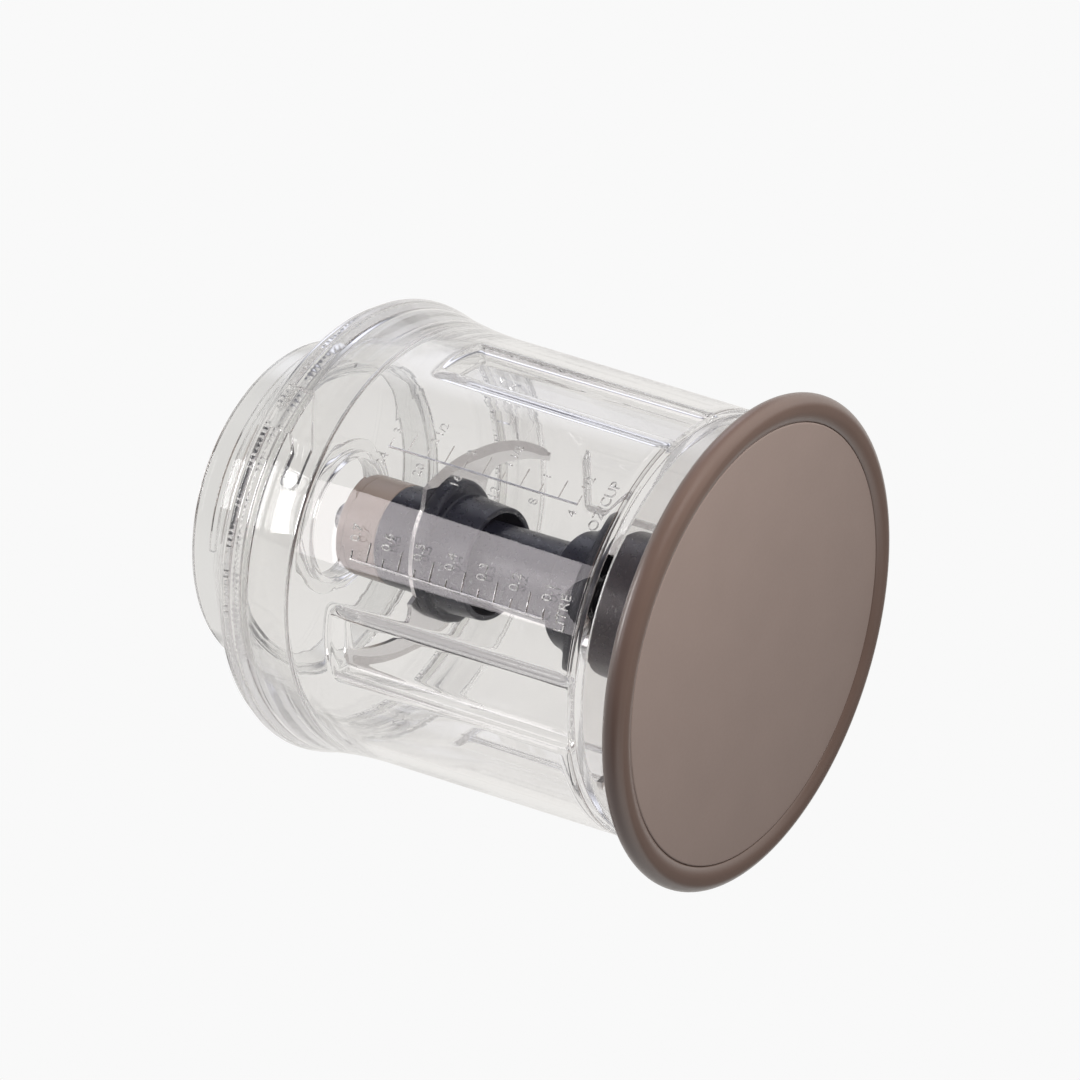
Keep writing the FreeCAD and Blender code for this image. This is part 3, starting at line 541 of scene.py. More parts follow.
def jar_rows():
    """Rows of the jar from the middle of its underside, outwards, up, and down the inside to the
    bottom of the pin's hole."""
    rows = []

    def plain(points):
        rows.extend((radius, height, None) for radius, height in points)

    plain(rounded([
        (0, FLOOR_BOTTOM),
        (40, FLOOR_BOTTOM),
        (FOOT_INNER, FLOOR_BOTTOM, 1.0),
        (FOOT_INNER, FOOT_BOTTOM, 0.3),
        (FOOT_RADIUS, FOOT_BOTTOM, 0.4),
        (FOOT_RADIUS, FOOT_LINE - 0.7, 0.35),
        (BODY_RADIUS, FOOT_LINE, 0.35),
        (BODY_RADIUS + 0.005, FOOT_LINE + 0.4),
    ], closed=False))
    heights = fine(FOOT_LINE + 0.5, 24.6, 0.22)
    heights += fine(24.6, 94.0, 5.8)[1:]
    heights += fine(94.0, 98.2, 0.22)[1:]
    for height in heights:
        radius = BODY_RADIUS + (height - FOOT_LINE) * BODY_TAPER
        if height > NECK_START:
            radius = flare_radius(height)
        rows.append((radius, height, "outer"))
    flare = []
    for height in fine(98.2, FLARE_TOP[1], 1.25)[1:]:
        flare.append((flare_radius(height), height))
    plain(flare)
    plain([(65.35, 124.6), (65.78, 126.0), (66.08, 127.3), (66.28, 128.3), (66.38, 129.1)])
    plain([(RIM_RADIUS, 129.6), (66.37, 130.1), (66.25, 130.55), (66.05, 130.85), (65.8, 131.0)])
    plain([(65.6, 131.0)])
    inside = rounded([
        (65.5, RIM_TOP),
        (MOUTH_RADIUS + 0.6, RIM_TOP, 0.2),
        (MOUTH_RADIUS, RIM_TOP - 0.6, 0.2),
        (MOUTH_RADIUS, LEDGE, 0.35),
        (INNER_HIGH, LEDGE, 0.35),
        (INNER_HIGH - 0.005, LEDGE - 1.2),
    ], closed=False)
    plain(inside[1:])
    heights = fine(110.6, 103.0, 1.9) + fine(103.0, 92.0, 0.5)[1:] + fine(92.0, 27.0, 3.2)[1:]
    for height in heights:
        share = (height - CORNER_TOP) / (LEDGE - CORNER_TOP)
        radius = INNER_LOW + share * (INNER_HIGH - INNER_LOW)
        rows.append((radius, height, "inner"))
    corner = [(57.0, CORNER_TOP)]
    corner += arc((57.0, CORNER_TOP), (55.946, 23.554), (53.4, FLOOR_TOP), 12)
    rows.extend((radius, height, "inner") for radius, height in corner)
    plain([(52.8, FLOOR_TOP), (49.0, FLOOR_TOP), (40.0, FLOOR_TOP), (25.0, FLOOR_TOP)])
    boss = rounded([
        (20, FLOOR_TOP),
        (11.0, FLOOR_TOP, 1.2),
        (9.5, BOSS_TOP, 0.8),
        (PIN_HOLE, BOSS_TOP, 0.4),
        (PIN_HOLE, PIN_HOLE_BOTTOM, 0.3),
        (0, PIN_HOLE_BOTTOM),
    ], closed=False)
    plain(boss)
    return rows


def flare_radius(height):
    """Outside radius of the flared neck at a height."""
    (ax, ay), (bx, by), (cx, cy) = (HIGH_RADIUS, NECK_START), FLARE_MIDDLE, FLARE_TOP
    t = (height - ay) / (cy - ay)
    middle = (by - ay) / (cy - ay)
    bow = (bx - ax - (cx - ax) * middle) / (middle * (1 - middle))
    return ax + (cx - ax) * t + bow * t * (1 - t)


# Bayonet channel: radius where its cutter starts, half its height, height that its ramp ends at,
# and the angles of its closed end and of where its sides start to rise and it opens to the rim
CHANNEL_INSIDE = 59.0
CHANNEL_HALF = 2.8
RAMP_TOP = 124.5
CLOSED_END = -7.0
UPPER_RISE = -0.5
LOWER_RISE = 2.0
OPEN_FROM = 4.0
RAMP_ANGLE = 14.4


def channel_cutter(turn):
    """Room of one bayonet channel: a level stretch with a round end, then a ramp to the rim."""
    round_end = math.degrees(CHANNEL_HALF / CHANNEL_FLOOR)
    angles = [CLOSED_END - round_end * math.cos(math.radians(step)) for step in range(5, 90, 6)]
    angles += fine(CLOSED_END, UPPER_RISE, 0.8) + fine(UPPER_RISE, LOWER_RISE, 0.6)[1:]
    angles += fine(LOWER_RISE, OPEN_FROM, 0.66)[1:]
    angles += [OPEN_FROM + 0.04] + fine(OPEN_FROM + 0.1, LOWER_RISE + RAMP_ANGLE, 0.8)
    rows = []
    for angle in angles:
        half = CHANNEL_HALF
        if angle < CLOSED_END:
            across = math.radians(angle - CLOSED_END) * CHANNEL_FLOOR
            half = math.sqrt(max(CHANNEL_HALF * CHANNEL_HALF - across * across, 0.01))
        low = LUG_Z - half
        high = LUG_Z + half
        if angle > LOWER_RISE:
            share = (angle - LOWER_RISE) / RAMP_ANGLE
            low = LUG_Z - CHANNEL_HALF + share * (RAMP_TOP - LUG_Z + CHANNEL_HALF)
        if angle > OPEN_FROM:
            high = RIM_TOP + 2
        elif angle > UPPER_RISE:
            share = (angle - UPPER_RISE) / (OPEN_FROM - UPPER_RISE)
            high = LUG_Z + CHANNEL_HALF + share * (RAMP_TOP - LUG_Z - CHANNEL_HALF)
        rows.append([on_circle(r, angle + turn, z) for r, z in
                     ((CHANNEL_INSIDE, low), (CHANNEL_FLOOR, low),
                      (CHANNEL_FLOOR, high), (CHANNEL_INSIDE, high))])
    points = [point for row in rows for point in row]
    faces = []
    for index in range(len(rows) - 1):
        base = 4 * index
        for side in range(4):
            after = (side + 1) % 4
            faces.append((base + side, base + 4 + side, base + 4 + after, base + after))
    faces.append((0, 1, 2, 3))
    last = 4 * (len(rows) - 1)
    faces.append((last + 3, last + 2, last + 1, last))
    return add_mesh("channel", points, faces)


def make_jar():
    rows = [jar_row(*row) for row in jar_rows()]
    jar = lofted("jar_body", rows, closed=False, sharp=50)
    joined(jar, [channel_cutter(turn) for turn in (0, 120, 240)], "DIFFERENCE")
    finish_piece(jar, "jar", clear_jar, "clear_plastic", "jar")


# Lid

LUG_RADIUS = 2.45
LUG_ROOT = 59.0
LUG_END = 61.85
LUG_ROUND = 0.2


def lug(turn):
    """Round bayonet lug on the skirt of the lid. At rest it lies in its channel's closed end."""
    middle = CLOSED_END + turn
    rows = [[on_circle(LUG_ROOT, middle, LUG_Z)]]
    for depth, size in ((LUG_ROOT, LUG_RADIUS), (LUG_END - LUG_ROUND, LUG_RADIUS),
                        (LUG_END, LUG_RADIUS - LUG_ROUND)):
        rows.append([on_circle(depth, middle + math.degrees(size * math.cos(t) / depth),
                               LUG_Z + size * math.sin(t))
                     for t in (math.tau * step / 32 for step in range(32))])
    rows.append([on_circle(LUG_END, middle, LUG_Z)])
    return lofted("lug", rows, closed=False)


def make_lid():
    shell = lathe("lid_body", rounded([
        (58.15, 113.0, 0.4),
        (SKIRT_RADIUS, 113.0, 0.4),
        (SKIRT_RADIUS, 126.4, 0.1),
        (59.25, 126.4, 0.1),
        (59.25, 128.8, 0.1),
        (SKIRT_RADIUS, 128.8, 0.1),
        (SKIRT_RADIUS, 129.0),
        (SKIRT_RADIUS, 129.2),
        (SKIRT_RADIUS, 130.6),
        (SKIRT_RADIUS, 130.8),
        (SKIRT_RADIUS, 131.1, 0.1),
        (65.0, 131.1, 0.25),
        (65.0, 133.1, 0.6),
        (51.4, DECK_TOP, 1.4),
        (20.01, DECK_TOP, 0.2),
        (20.01, 144.3, 0.2),
        (47.86, 144.3, 1.5),
        (58.15, 136.3, 2.0),
    ]), columns=4 * SKIRT_RIBS, ribs=RIB_BAND)
    joined(shell, [lug(turn) for turn in (0, 120, 240)], "UNION")
    finish_piece(shell, "lid", clear_lid, "clear_plastic", "lid_shell")
    collar = lathe("lid_collar_ring", rounded([
        (46.0, DECK_TOP - 0.03, 0.1),
        (49.3, DECK_TOP - 0.03, 0.1),
        (48.6, LID_TOP, 0.5),
        (46.0, LID_TOP, 0.5),
    ]), columns=256)
    joined(collar, [collar_rib(start) for start in (-35, 85, 205)], "UNION")
    finish_piece(collar, "lid", clear_collar, "clear_plastic", "lid_collar")
    well = lathe("lid_well", rounded([
        (17.68, 140.3, 0.4),
        (19.98, 140.3, 0.4),
        (19.98, 142.8, 0.3),
        (23.48, 142.8, 0.3),
        (23.48, 144.33, 0.2),
        (19.98, 144.33, 0.1),
        (19.98, DECK_TOP, 0.2),
        (17.68, DECK_TOP, 0.4),
    ]), columns=192)
    finish_piece(well, "lid", clear_lid, "clear_plastic", "lid_socket")
    seal = lathe("lid_seal_ring", rounded([
        (59.28, 126.43, 0.2), (60.4, 126.43, 0.3), (60.53, 127.6, 0.4), (60.4, 128.77, 0.3),
        (59.28, 128.77, 0.2),
    ]))
    finish_piece(seal, "lid", clear_seal, "clear_seal", "lid_seal")


def collar_rib(start):
    """Bayonet rib outside the root of the collar."""
    profile = rounded([
        (47.4, DECK_TOP - 0.03, 0.1),
        (51.0, DECK_TOP - 0.03, 0.1),
        (51.0, 149.0, 0.4),
        (47.4, 149.0, 0.1),
    ])
    angles = fine(start, start + 90, 1.5)
    points = [on_circle(radius, angle, height) for angle in angles for radius, height in profile]
    size = len(profile)
    faces = []
    for index in range(len(angles) - 1):
        for side in range(size):
            after = (side + 1) % size
            base = index * size
            faces.append((base + side, base + size + side, base + size + after, base + after))
    faces.append(tuple(range(size)))
    last = (len(angles) - 1) * size
    faces.append(tuple(range(last + size - 1, last - 1, -1)))
    return add_mesh("rib", points, faces)


# Blade set

COLLAR_RADIUS = 14.8
COLLAR_BORE = 8.0
SHAFT_BORE = 4.03
SLEEVE_BOTTOM = 86.7
SLEEVE_RADIUS = 17.08
SLEEVE_BORE = 12.9
FLANGE_BOTTOM = 99.0
BLADE_BOTTOM = 103.5
BLADE_TOP = 104.9
COLLAR_TOP = 118.9
COUPLING_SEAM = 129.5
COUPLING_TOP = 133.0
FLANGE_LONG = 21.6
FLANGE_SHORT = 17.0
FLANGE_TURN = -44.5
FLANGE_ROUND = 1.8
LOWER_BLADE_BOTTOM = 27.9
LOWER_BLADE_TOP = 29.5
LOWER_BLADE_TURN = 150.0
BELL_RADIUS = 20.5
BELL_BORE = 12.5
BELL_TOP = 46.0
NECK_RADIUS = 16.8
NECK_TOP = 59.2
TUBE_LOW_RADIUS = 12.1
TUBE_HIGH_RADIUS = 11.7
TUBE_TOP = 98.0
SPIGOT_RADIUS = 10.0
SPIGOT_TOP = 111.5
BUSH_BORE = 6.53
BUSH_BOTTOM = 46.0
BUSH_TOP = 110.1

# Wings: how far they reach, how far and at what angle the drawn one does, and their ground edge
UPPER_REACH = 51.3
LOWER_REACH = 50.0
DRAWN_REACH = 51.3
DRAWN_TURN = 102.5
BEVEL_WIDTH = 2.6
EDGE_THICKNESS = 0.15
BEVEL_NORMALS = (-0.98, -0.3)
BLADE_SHARP = 15.0


def make_hub():
    """Bell over the boss and the long tube, with the spigot that the upper unit sits on."""
    profile = rounded([
        (BELL_BORE, LOWER_BLADE_TOP + 0.03, 0.1),
        (BELL_RADIUS, LOWER_BLADE_TOP + 0.03, 0.3),
        (BELL_RADIUS, BELL_TOP, 1.0),
        (NECK_RADIUS, BELL_TOP, 0.5),
        (NECK_RADIUS, NECK_TOP, 0.6),
        (TUBE_LOW_RADIUS, NECK_TOP, 4.2),
        (TUBE_HIGH_RADIUS, TUBE_TOP, 0.3),
        (SPIGOT_RADIUS, TUBE_TOP, 0.2),
        (SPIGOT_RADIUS, SPIGOT_TOP, 0.4),
        (0, SPIGOT_TOP),
    ], closed=False)
    profile += [(0, BUSH_TOP), (BUSH_BORE, BUSH_TOP), (BUSH_BORE, BUSH_BOTTOM),
                (BELL_BORE, BUSH_BOTTOM)]
    hub = lathe("hub_tube", profile, closed=False, columns=160)
    finish_piece(hub, "blades", charcoal, "charcoal_plastic", "lower_hub")


def oval_radius(angle, inset):
    """Radius of the oval flange at an angle from its long side."""
    long_side = FLANGE_LONG - inset
    short_side = FLANGE_SHORT - inset
    turned_by = math.radians(angle)
    return long_side * short_side / math.hypot(short_side * math.cos(turned_by),
                                               long_side * math.sin(turned_by))


def oval_row(height, inset, least, columns=192):
    """Row of points round the oval, but never inside a circle."""
    row = []
    for column in range(columns):
        angle = 360.0 * column / columns
        oval = oval_radius(angle, inset)
        radius = -float(smooth_min(np.array(-oval), np.array(-least), 0.8)) if least > 0 else oval
        turned_by = math.radians(angle + FLANGE_TURN)
        row.append((radius * math.cos(turned_by), radius * math.sin(turned_by), height))
    return row


def circle_row(radius, height, columns=192):
    return [(radius * math.cos(t), radius * math.sin(t), height)
            for t in (math.tau * column / columns + math.radians(FLANGE_TURN)
                      for column in range(columns))]


def make_sleeve():
    """Sleeve over the tube, with the oval flange that carries the upper blade."""
    rows = []
    lip = rounded([(14.6, TUBE_TOP + 0.1), (14.6, SLEEVE_BOTTOM, 0.5), (16.3, SLEEVE_BOTTOM, 0.5),
                   (17.05, 98.2)], closed=False)
    for radius, height in lip:
        rows.append(circle_row(radius, height))
    for height, wider in ((98.5, 0.03), (98.75, 0.12), (98.92, 0.3)):
        rows.append(circle_row(SLEEVE_RADIUS + wider, height))
    rows.append(oval_row(FLANGE_BOTTOM, FLANGE_ROUND + 0.5, SLEEVE_RADIUS + 0.5))
    for step in range(0, 91, 15):
        t = math.radians(step)
        inset = FLANGE_ROUND * (1 - math.sin(t))
        height = FLANGE_BOTTOM + FLANGE_ROUND * (1 - math.cos(t))
        rows.append(oval_row(height, inset, SLEEVE_RADIUS - 0.4 + 0.4 * math.cos(t)))
    rows.append(oval_row(BLADE_BOTTOM - 0.4, 0, 16.7))
    rows.append(oval_row(BLADE_BOTTOM - 0.25, 0, 16.7))
    rows.append(oval_row(BLADE_BOTTOM - 0.08, 0.08, 16.6))
    rows.append(oval_row(BLADE_BOTTOM - 0.02, 0.25, 16.5))
    rows.append(oval_row(BLADE_BOTTOM - 0.02, 0.6, 16.4))
    rows.append(circle_row(SLEEVE_BORE, BLADE_BOTTOM - 0.02))
    rows.append(circle_row(SLEEVE_BORE, TUBE_TOP + 0.1))
    sleeve_piece = lofted("blade_sleeve", rows)
    finish_piece(sleeve_piece, "blades", charcoal, "charcoal_plastic", "upper_sleeve")


def wing_outline():
    """Outline of a wing as drawn: its cutting side, then its back."""
    cutting = [(19.2, 14.1)] + arc((19.2, 14.1), (10.9, 22.7), (-1.0, 29.6), 12)
    cutting += arc((-1.0, 29.6), (-18.2, 35.6), (-36.0, 36.4), 20)
    back = [(-36.5, 35.9), (-36.9, 34.9), (-36.9, 33.4)]
    back += arc((-36.9, 33.4), (-23.8, 31.4), (-12.5, 27.5), 14)
    back += arc((-12.5, 27.5), (-8.9, 23.4), (-10.3, 17.6), 10)
    back += [(0.0, 0.0), (17.1, 7.0)]
    return cutting, back


def wing_piece(reach, bottom, top, turn):
    """One wing. Its convex side is ground to an edge from below, less wide at its ends."""
    cutting, back = wing_outline()
    size = reach / DRAWN_REACH
    turned_by = math.radians(turn - DRAWN_TURN)
    cosine = math.cos(turned_by) * size
    sine = math.sin(turned_by) * size

    def placed(x, y, z):
        return (x * cosine - y * sine, x * sine + y * cosine, z)

    inner = []
    count = len(cutting)
    for index, (x, y) in enumerate(cutting):
        ahead = cutting[min(index + 1, count - 1)]
        behind = cutting[max(index - 1, 0)]
        along = Vector((ahead[0] - behind[0], ahead[1] - behind[1])).normalized()
        share = min(1.0, (count - 1 - index) / 6 + 0.62, index / 2)
        width = BEVEL_WIDTH * share / size
        inner.append((x - along.y * width, y + along.x * width))
    outline = cutting + back
    below = inner + back
    around = len(outline)
    rows = [[placed(x, y, top) for x, y in outline],
            [placed(x, y, top - EDGE_THICKNESS) for x, y in outline],
            [placed(x, y, bottom) for x, y in below]]
    points = [point for row in rows for point in row]
    faces = []
    for row in range(2):
        for column in range(around):
            after = (column + 1) % around
            base = row * around
            faces.append((base + column, base + around + column,
                          base + around + after, base + after))
    faces.append(tuple(range(around)))
    faces.append(tuple(range(3 * around - 1, 2 * around - 1, -1)))
    return add_mesh("wing", points, faces, sharp=BLADE_SHARP)


def make_blades():
    upper = lofted("upper_blade_plate", [
        oval_row(BLADE_BOTTOM, 0.12, 16.6), oval_row(BLADE_BOTTOM + 0.12, 0, 16.7),
        oval_row(BLADE_TOP - 0.15, 0, 16.7), oval_row(BLADE_TOP, 0.15, 16.6),
        circle_row(12.0, BLADE_TOP), circle_row(12.0, BLADE_BOTTOM)])
    joined(upper, [wing_piece(UPPER_REACH, BLADE_BOTTOM, BLADE_TOP, turn) for turn in (0, 180)],
           "UNION")
    finish_piece(upper, "blades", blade_steel, "blade_steel", "upper_blade")
    lower = lathe("lower_blade_plate", rounded([
        (BELL_BORE, LOWER_BLADE_BOTTOM, 0.1), (BELL_RADIUS, LOWER_BLADE_BOTTOM, 0.15),
        (BELL_RADIUS, LOWER_BLADE_TOP, 0.15), (BELL_BORE, LOWER_BLADE_TOP, 0.1)]), columns=128)
    joined(lower, [wing_piece(LOWER_REACH, LOWER_BLADE_BOTTOM, LOWER_BLADE_TOP, turn)
                   for turn in (LOWER_BLADE_TURN, LOWER_BLADE_TURN + 180)], "UNION")
    finish_piece(lower, "blades", blade_steel, "blade_steel", "lower_blade")
    for blade in (upper, lower):
        blade.data.set_sharp_from_angle(angle=math.radians(BLADE_SHARP))
        blade.data.materials.append(blade_bevel)
        for polygon in blade.data.polygons:
            if BEVEL_NORMALS[0] < polygon.normal.z < BEVEL_NORMALS[1]:
                polygon.material_index = 1


def make_upper_unit():
    collar = lathe("blade_collar", rounded([
        (COLLAR_BORE, BLADE_TOP, 0.1), (COLLAR_RADIUS, BLADE_TOP, 0.3),
        (COLLAR_RADIUS, COLLAR_TOP, 0.35), (COLLAR_BORE, COLLAR_TOP, 0.1)]), columns=160)
    finish_piece(collar, "blades", charcoal, "charcoal_plastic", "upper_collar")
    drum = lathe("coupling_drum", rounded([
        (SHAFT_BORE, COLLAR_TOP, 0.1), (COLLAR_RADIUS, COLLAR_TOP, 0.35),
        (COLLAR_RADIUS, COUPLING_SEAM, 0.3), (SHAFT_BORE, COUPLING_SEAM, 0.1)]), columns=160)
    finish_piece(drum, "blades", taupe_gloss, "taupe_gloss", "drive_coupling")
    cap = lathe("coupling_end", rounded([
        (SHAFT_BORE, COUPLING_SEAM, 0.1), (COLLAR_RADIUS, COUPLING_SEAM, 0.3),
        (COLLAR_RADIUS, COUPLING_TOP, 1.4), (SHAFT_BORE, COUPLING_TOP, 0.3)]), columns=160)
    finish_piece(cap, "blades", taupe_gloss, "taupe_gloss", "coupling_cap")


def dress_nodes():
    """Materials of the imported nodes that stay."""
    dressed = {
        "spindle_pin": plain_steel, "lower_clamp_ring": charcoal, "lower_clamp_screws": plain_steel,
        "lower_bush": bush_plastic, "upper_bush": bush_plastic, "thrust_pad": bush_plastic,
        "upper_blade_rivets": plain_steel, "drive_shaft": plain_steel,
    }
    for name, material in dressed.items():
        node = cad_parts[name]
        node.data.materials.clear()
        node.data.materials.append(material)


# Volume scales, raised on the outside of the jar

MARK_RELIEF = 0.28
MARK_ROOT = 0.06
LITRE_LINE = -21.2
OUNCE_LINE = 8.4
LITRE_ENDS = (32.0, 92.9)
OUNCE_ENDS = (33.8, 93.9)
LITRE_TICK = 0.18
OUNCE_TICK = 0.15
LITRE_ZERO = 22.0
MM_PER_LITRE = 101.0
LITRES_PER_OUNCE = 0.029574
TEXT_HEIGHT = 2.9
WORD_HEIGHT = 3.0
WORD_Z = 26.6
# Height of a capital letter of the built-in font, as a share of its size
CAPITAL = 0.729
WELD_WITHIN = 0.000004


def wall_radius(height):
    return BODY_RADIUS + (height - FOOT_LINE) * BODY_TAPER


def on_wall(angle, along, height, out):
    """Point over the wall, a distance along it from an angle."""
    radius = wall_radius(height)
    return on_circle(radius + out, angle + math.degrees(along / radius), height)


def raised_text(words, angle, height, size, align="LEFT"):
    """Points and faces of raised words that stand upright on the wall."""
    data = bpy.data.curves.new("words", "FONT")
    data.body = words
    data.size = size / CAPITAL
    data.align_x = align
    data.align_y = "CENTER"
    data.resolution_u = 4
    data.extrude = 0.5
    data.offset = -0.03
    text = bpy.data.objects.new("words", data)
    scene.collection.objects.link(text)
    bpy.context.view_layer.update()
    mesh = bpy.data.meshes.new_from_object(text.evaluated_get(
        bpy.context.evaluated_depsgraph_get()))
    points = []
    for vertex in mesh.vertices:
        out = MARK_RELIEF if vertex.co.z > 0 else -MARK_ROOT
        points.append(on_wall(angle, vertex.co.x, height + vertex.co.y, out))
    faces = [tuple(polygon.vertices) for polygon in mesh.polygons]
    bpy.data.objects.remove(text)
    bpy.data.meshes.remove(mesh)
    return points, faces


def raised_bar(angle, start, end, low, high):
    """Points and faces of a bar with a rounded top. Start and end are distances along the wall."""
    if high - low > end - start:
        ends = fine(low, high, 4.0)
        middle = (start + end) / 2
        half = (end - start) / 2
        section = [(-half, -MARK_ROOT), (half, -MARK_ROOT), (0.75 * half, 0.7 * MARK_RELIEF),
                   (0, MARK_RELIEF), (-0.75 * half, 0.7 * MARK_RELIEF)]
        rows = [[on_wall(angle, middle + across, z, out) for across, out in section] for z in ends]
    else:
        ends = fine(start, end, 0.8)
        middle = (low + high) / 2
        half = (high - low) / 2
        section = [(half, -MARK_ROOT), (-half, -MARK_ROOT), (-0.75 * half, 0.7 * MARK_RELIEF),
                   (0, MARK_RELIEF), (0.75 * half, 0.7 * MARK_RELIEF)]
        rows = [[on_wall(angle, along, middle + across, out) for across, out in section]
                for along in ends]
    points = [point for row in rows for point in row]
    size = len(section)
    faces = []
    for index in range(len(rows) - 1):
        for side in range(size):
            after = (side + 1) % size
            base = index * size
            faces.append((base + side, base + after, base + size + after, base + size + side))
    faces.append(tuple(range(size - 1, -1, -1)))
    last = (len(rows) - 1) * size
    faces.append(tuple(range(last, last + size)))
    return points, faces


def mark_piece(name, parts):
    points = []
    faces = []
    for part_points, part_faces in parts:
        base = len(points)
        points.extend(part_points)
        faces.extend(tuple(base + index for index in face) for face in part_faces)
    piece = add_mesh(name, points, faces, sharp=40)
    weld = piece.modifiers.new("weld", "WELD")
    weld.merge_threshold = WELD_WITHIN
    finish_piece(piece, "jar", clear_jar, "clear_plastic")


def make_marks():
    litre = [raised_bar(LITRE_LINE, -0.35, 0.35, *LITRE_ENDS)]
    for tenth in range(1, 8):
        height = LITRE_ZERO + MM_PER_LITRE * tenth / 10
        litre.append(raised_bar(LITRE_LINE, 0.3, 2.6, height - LITRE_TICK, height + LITRE_TICK))
        litre.append(raised_text("0.%d" % tenth, LITRE_LINE + 4.4, height, TEXT_HEIGHT))
        if tenth < 7:
            half = height + MM_PER_LITRE / 20
            litre.append(raised_bar(LITRE_LINE, 0.3, 5.7, half - LITRE_TICK, half + LITRE_TICK))
    litre.append(raised_text("LITRE", -23.2, WORD_Z, WORD_HEIGHT))
    mark_piece("litre_scale", litre)
    ounce = [raised_bar(OUNCE_LINE, -0.3, 0.3, *OUNCE_ENDS)]
    cups = ("1/2", "1", "1 1/2", "2", "2 1/2", "3")
    for index, cup in enumerate(cups):
        height = LITRE_ZERO + MM_PER_LITRE * LITRES_PER_OUNCE * 4 * (index + 1)
        ounce.append(raised_bar(OUNCE_LINE, 0.25, 2.7, height - OUNCE_TICK, height + OUNCE_TICK))
        ounce.append(raised_text(str(4 * (index + 1)), 6.6, height, 2.7, "RIGHT"))
        ounce.append(raised_text(cup, 12.4, height, 2.5))
        if index < 5:
            half = height + MM_PER_LITRE * LITRES_PER_OUNCE * 2
            ounce.append(raised_bar(OUNCE_LINE, 0.25, 5.5, half - OUNCE_TICK, half + OUNCE_TICK))
    ounce.append(raised_text("OZ/CUP", 2.8, WORD_Z, WORD_HEIGHT))
    mark_piece("ounce_scale", ounce)


make_base()
make_jar()
make_marks()
make_lid()
make_hub()
make_sleeve()
make_blades()
make_upper_unit()
dress_nodes()


# Studio

BACKGROUND = 0.947
SURROUND = (0.85, 0.835, 0.815)
# Parts of the studio that aren't plain. Each has its direction, the cosines off that direction
# where it starts and is full, and its colour. Later ones lie over earlier ones.
STUDIO_PARTS = (
    ((-0.3, -0.95, -0.05), 0.1, 0.62, (0.055, 0.05, 0.06)),
    ((-0.93, 0.0, 0.3), 0.6, 0.97, (0.52, 0.5, 0.5)),
    ((0.86, -0.2, 0.5), 0.76, 0.93, (0.1, 0.1, 0.13)),
    ((0.8, -0.02, 0.55), 0.95, 0.99, (1.2, 1.22, 1.36)),
    ((0.15, 0.8, -0.55), 0.86, 0.96, (0.14, 0.115, 0.105)),
    ((-0.38, 0.57, 0.73), 0.984, 0.991, (0.03, 0.03, 0.04)),
    ((0.05, 0.0, -1.0), 0.74, 0.92, (0.1, 0.08, 0.075)),
    ((-0.72, -0.55, -0.35), 0.8, 0.93, (0.012, 0.014, 0.03)),
)
FLOOR_DROP = 0.15
FLOOR_RINGS = (150, 400, 1200, 4000)
FLOOR_COLUMNS = 96
LAMPS_FACE = (0, 0, 0.07)


def make_world():
    world = bpy.data.worlds.new("studio")
    scene.world = world
    world.use_nodes = True
    tree = world.node_tree
    tree.nodes.clear()
    output = tree.nodes.new("ShaderNodeOutputWorld")
    seen = tree.nodes.new("ShaderNodeBackground")
    seen.inputs["Color"].default_value = (BACKGROUND, BACKGROUND, BACKGROUND, 1)
    around = tree.nodes.new("ShaderNodeBackground")
    either = tree.nodes.new("ShaderNodeMixShader")
    path = tree.nodes.new("ShaderNodeLightPath")
    tree.links.new(path.outputs["Is Camera Ray"], either.inputs["Fac"])
    tree.links.new(around.outputs["Background"], either.inputs[1])
    tree.links.new(seen.outputs["Background"], either.inputs[2])
    tree.links.new(either.outputs["Shader"], output.inputs["Surface"])
    place = tree.nodes.new("ShaderNodeTexCoord")
    colour = None
    for direction, near, far, shade in STUDIO_PARTS:
        dot = tree.nodes.new("ShaderNodeVectorMath")
        dot.operation = "DOT_PRODUCT"
        dot.inputs[1].default_value = Vector(direction).normalized()
        tree.links.new(place.outputs["Generated"], dot.inputs[0])
        amount = spread(tree, dot.outputs["Value"], 0, 1, near, far)
        mixed = mixed_colour(tree, amount, SURROUND, shade)
        if colour:
            tree.links.new(colour, mixed.node.inputs["A"])
        colour = mixed
    tree.links.new(colour, around.inputs["Color"])


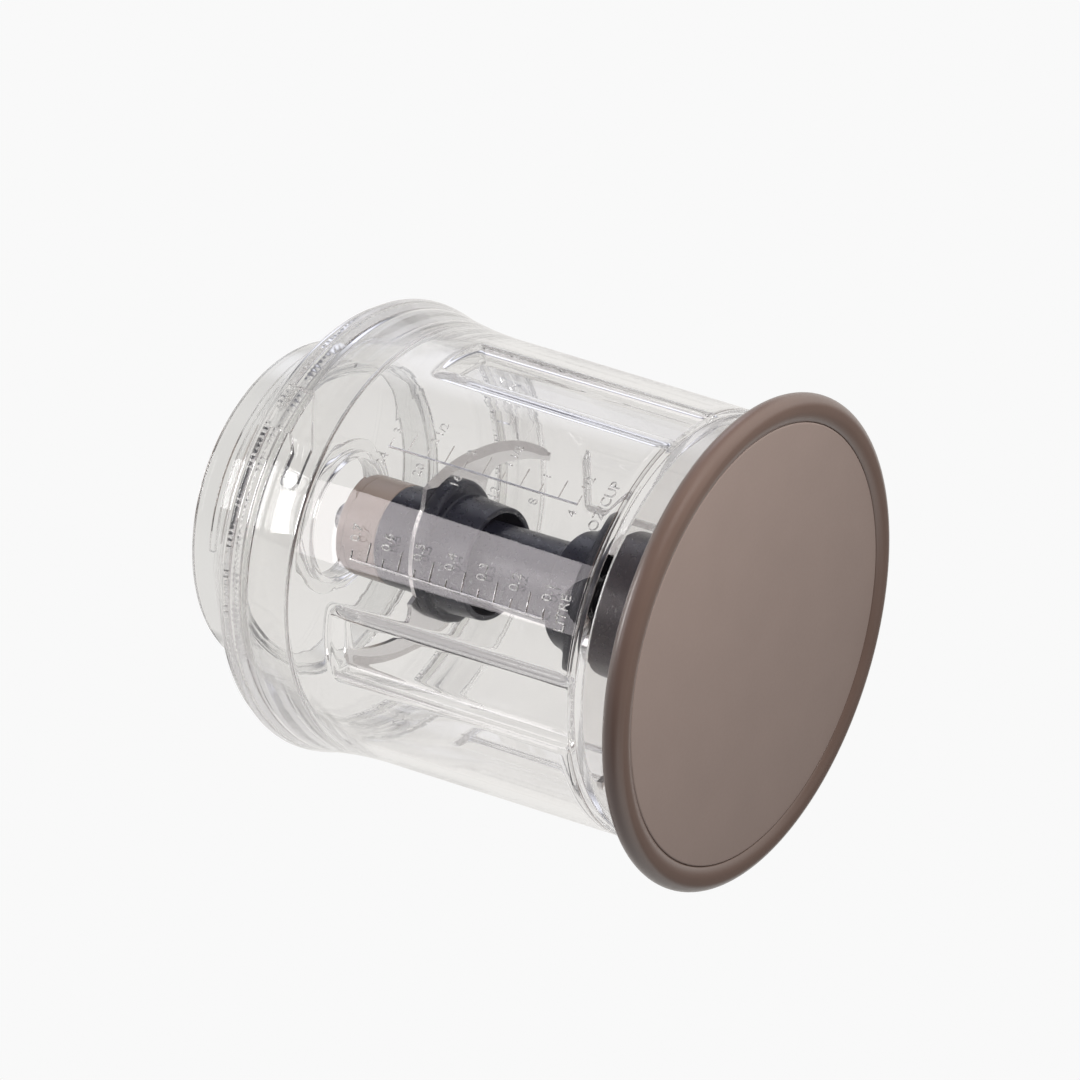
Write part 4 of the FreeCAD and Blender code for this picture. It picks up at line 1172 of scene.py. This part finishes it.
def soft_box(name, direction, distance, width, height, radiance, colour=(1, 1, 1)):
    """Area light that faces the object, with a given brightness of its face."""
    data = bpy.data.lights.new(name, "AREA")
    data.shape = "RECTANGLE"
    data.size = width
    data.size_y = height
    data.energy = radiance * math.pi * width * height
    data.color = colour
    lamp = bpy.data.objects.new(name, data)
    away = Vector(direction).normalized()
    lamp.location = Vector(LAMPS_FACE) + away * distance
    lamp.rotation_euler = away.to_track_quat("Z", "Y").to_euler()
    lamp.visible_camera = False
    scene.collection.objects.link(lamp)
    return lamp


def make_floor():
    """Pale disc under the object. From below it can be looked through."""
    rows = [[(0.0, 0.0, -FLOOR_DROP)]]
    for radius in FLOOR_RINGS:
        rows.append([on_circle(radius, 360 * step / FLOOR_COLUMNS, -FLOOR_DROP)
                     for step in range(FLOOR_COLUMNS)])
    floor = lofted("floor", rows, closed=False)
    floor.data.flip_normals()
    material, tree, output = new_material("floor")
    shader = tree.nodes.new("ShaderNodeBsdfPrincipled")
    shader.inputs["Roughness"].default_value = 0.6
    tree.links.new(mixed_colour(tree, noise(tree, 3.0), (0.86, 0.86, 0.855), (0.88, 0.88, 0.875)),
                   shader.inputs["Base Color"])
    clear = tree.nodes.new("ShaderNodeBsdfTransparent")
    side = tree.nodes.new("ShaderNodeNewGeometry")
    either = tree.nodes.new("ShaderNodeMixShader")
    tree.links.new(side.outputs["Backfacing"], either.inputs["Fac"])
    tree.links.new(shader.outputs["BSDF"], either.inputs[1])
    tree.links.new(clear.outputs["BSDF"], either.inputs[2])
    tree.links.new(either.outputs["Shader"], output.inputs["Surface"])
    floor.data.materials.append(material)
    floor.visible_shadow = False
    floor.visible_diffuse = False
    floor.visible_glossy = False


make_world()
make_floor()
soft_box("left_box", (-0.2466, -0.8375, 0.487), 1.2, 0.69, 0.2, 3.4, (1.0, 0.94, 0.97))
soft_box("key_box", (-0.12, -0.5, 0.86), 1.3, 0.5, 0.3, 9.0)
fill_box = soft_box("fill_box", (0.42, -0.68, -0.6), 0.45, 0.2, 0.2, 15.0, (1.0, 0.97, 0.94))
fill_box.visible_glossy = False
fill_box.visible_transmission = False
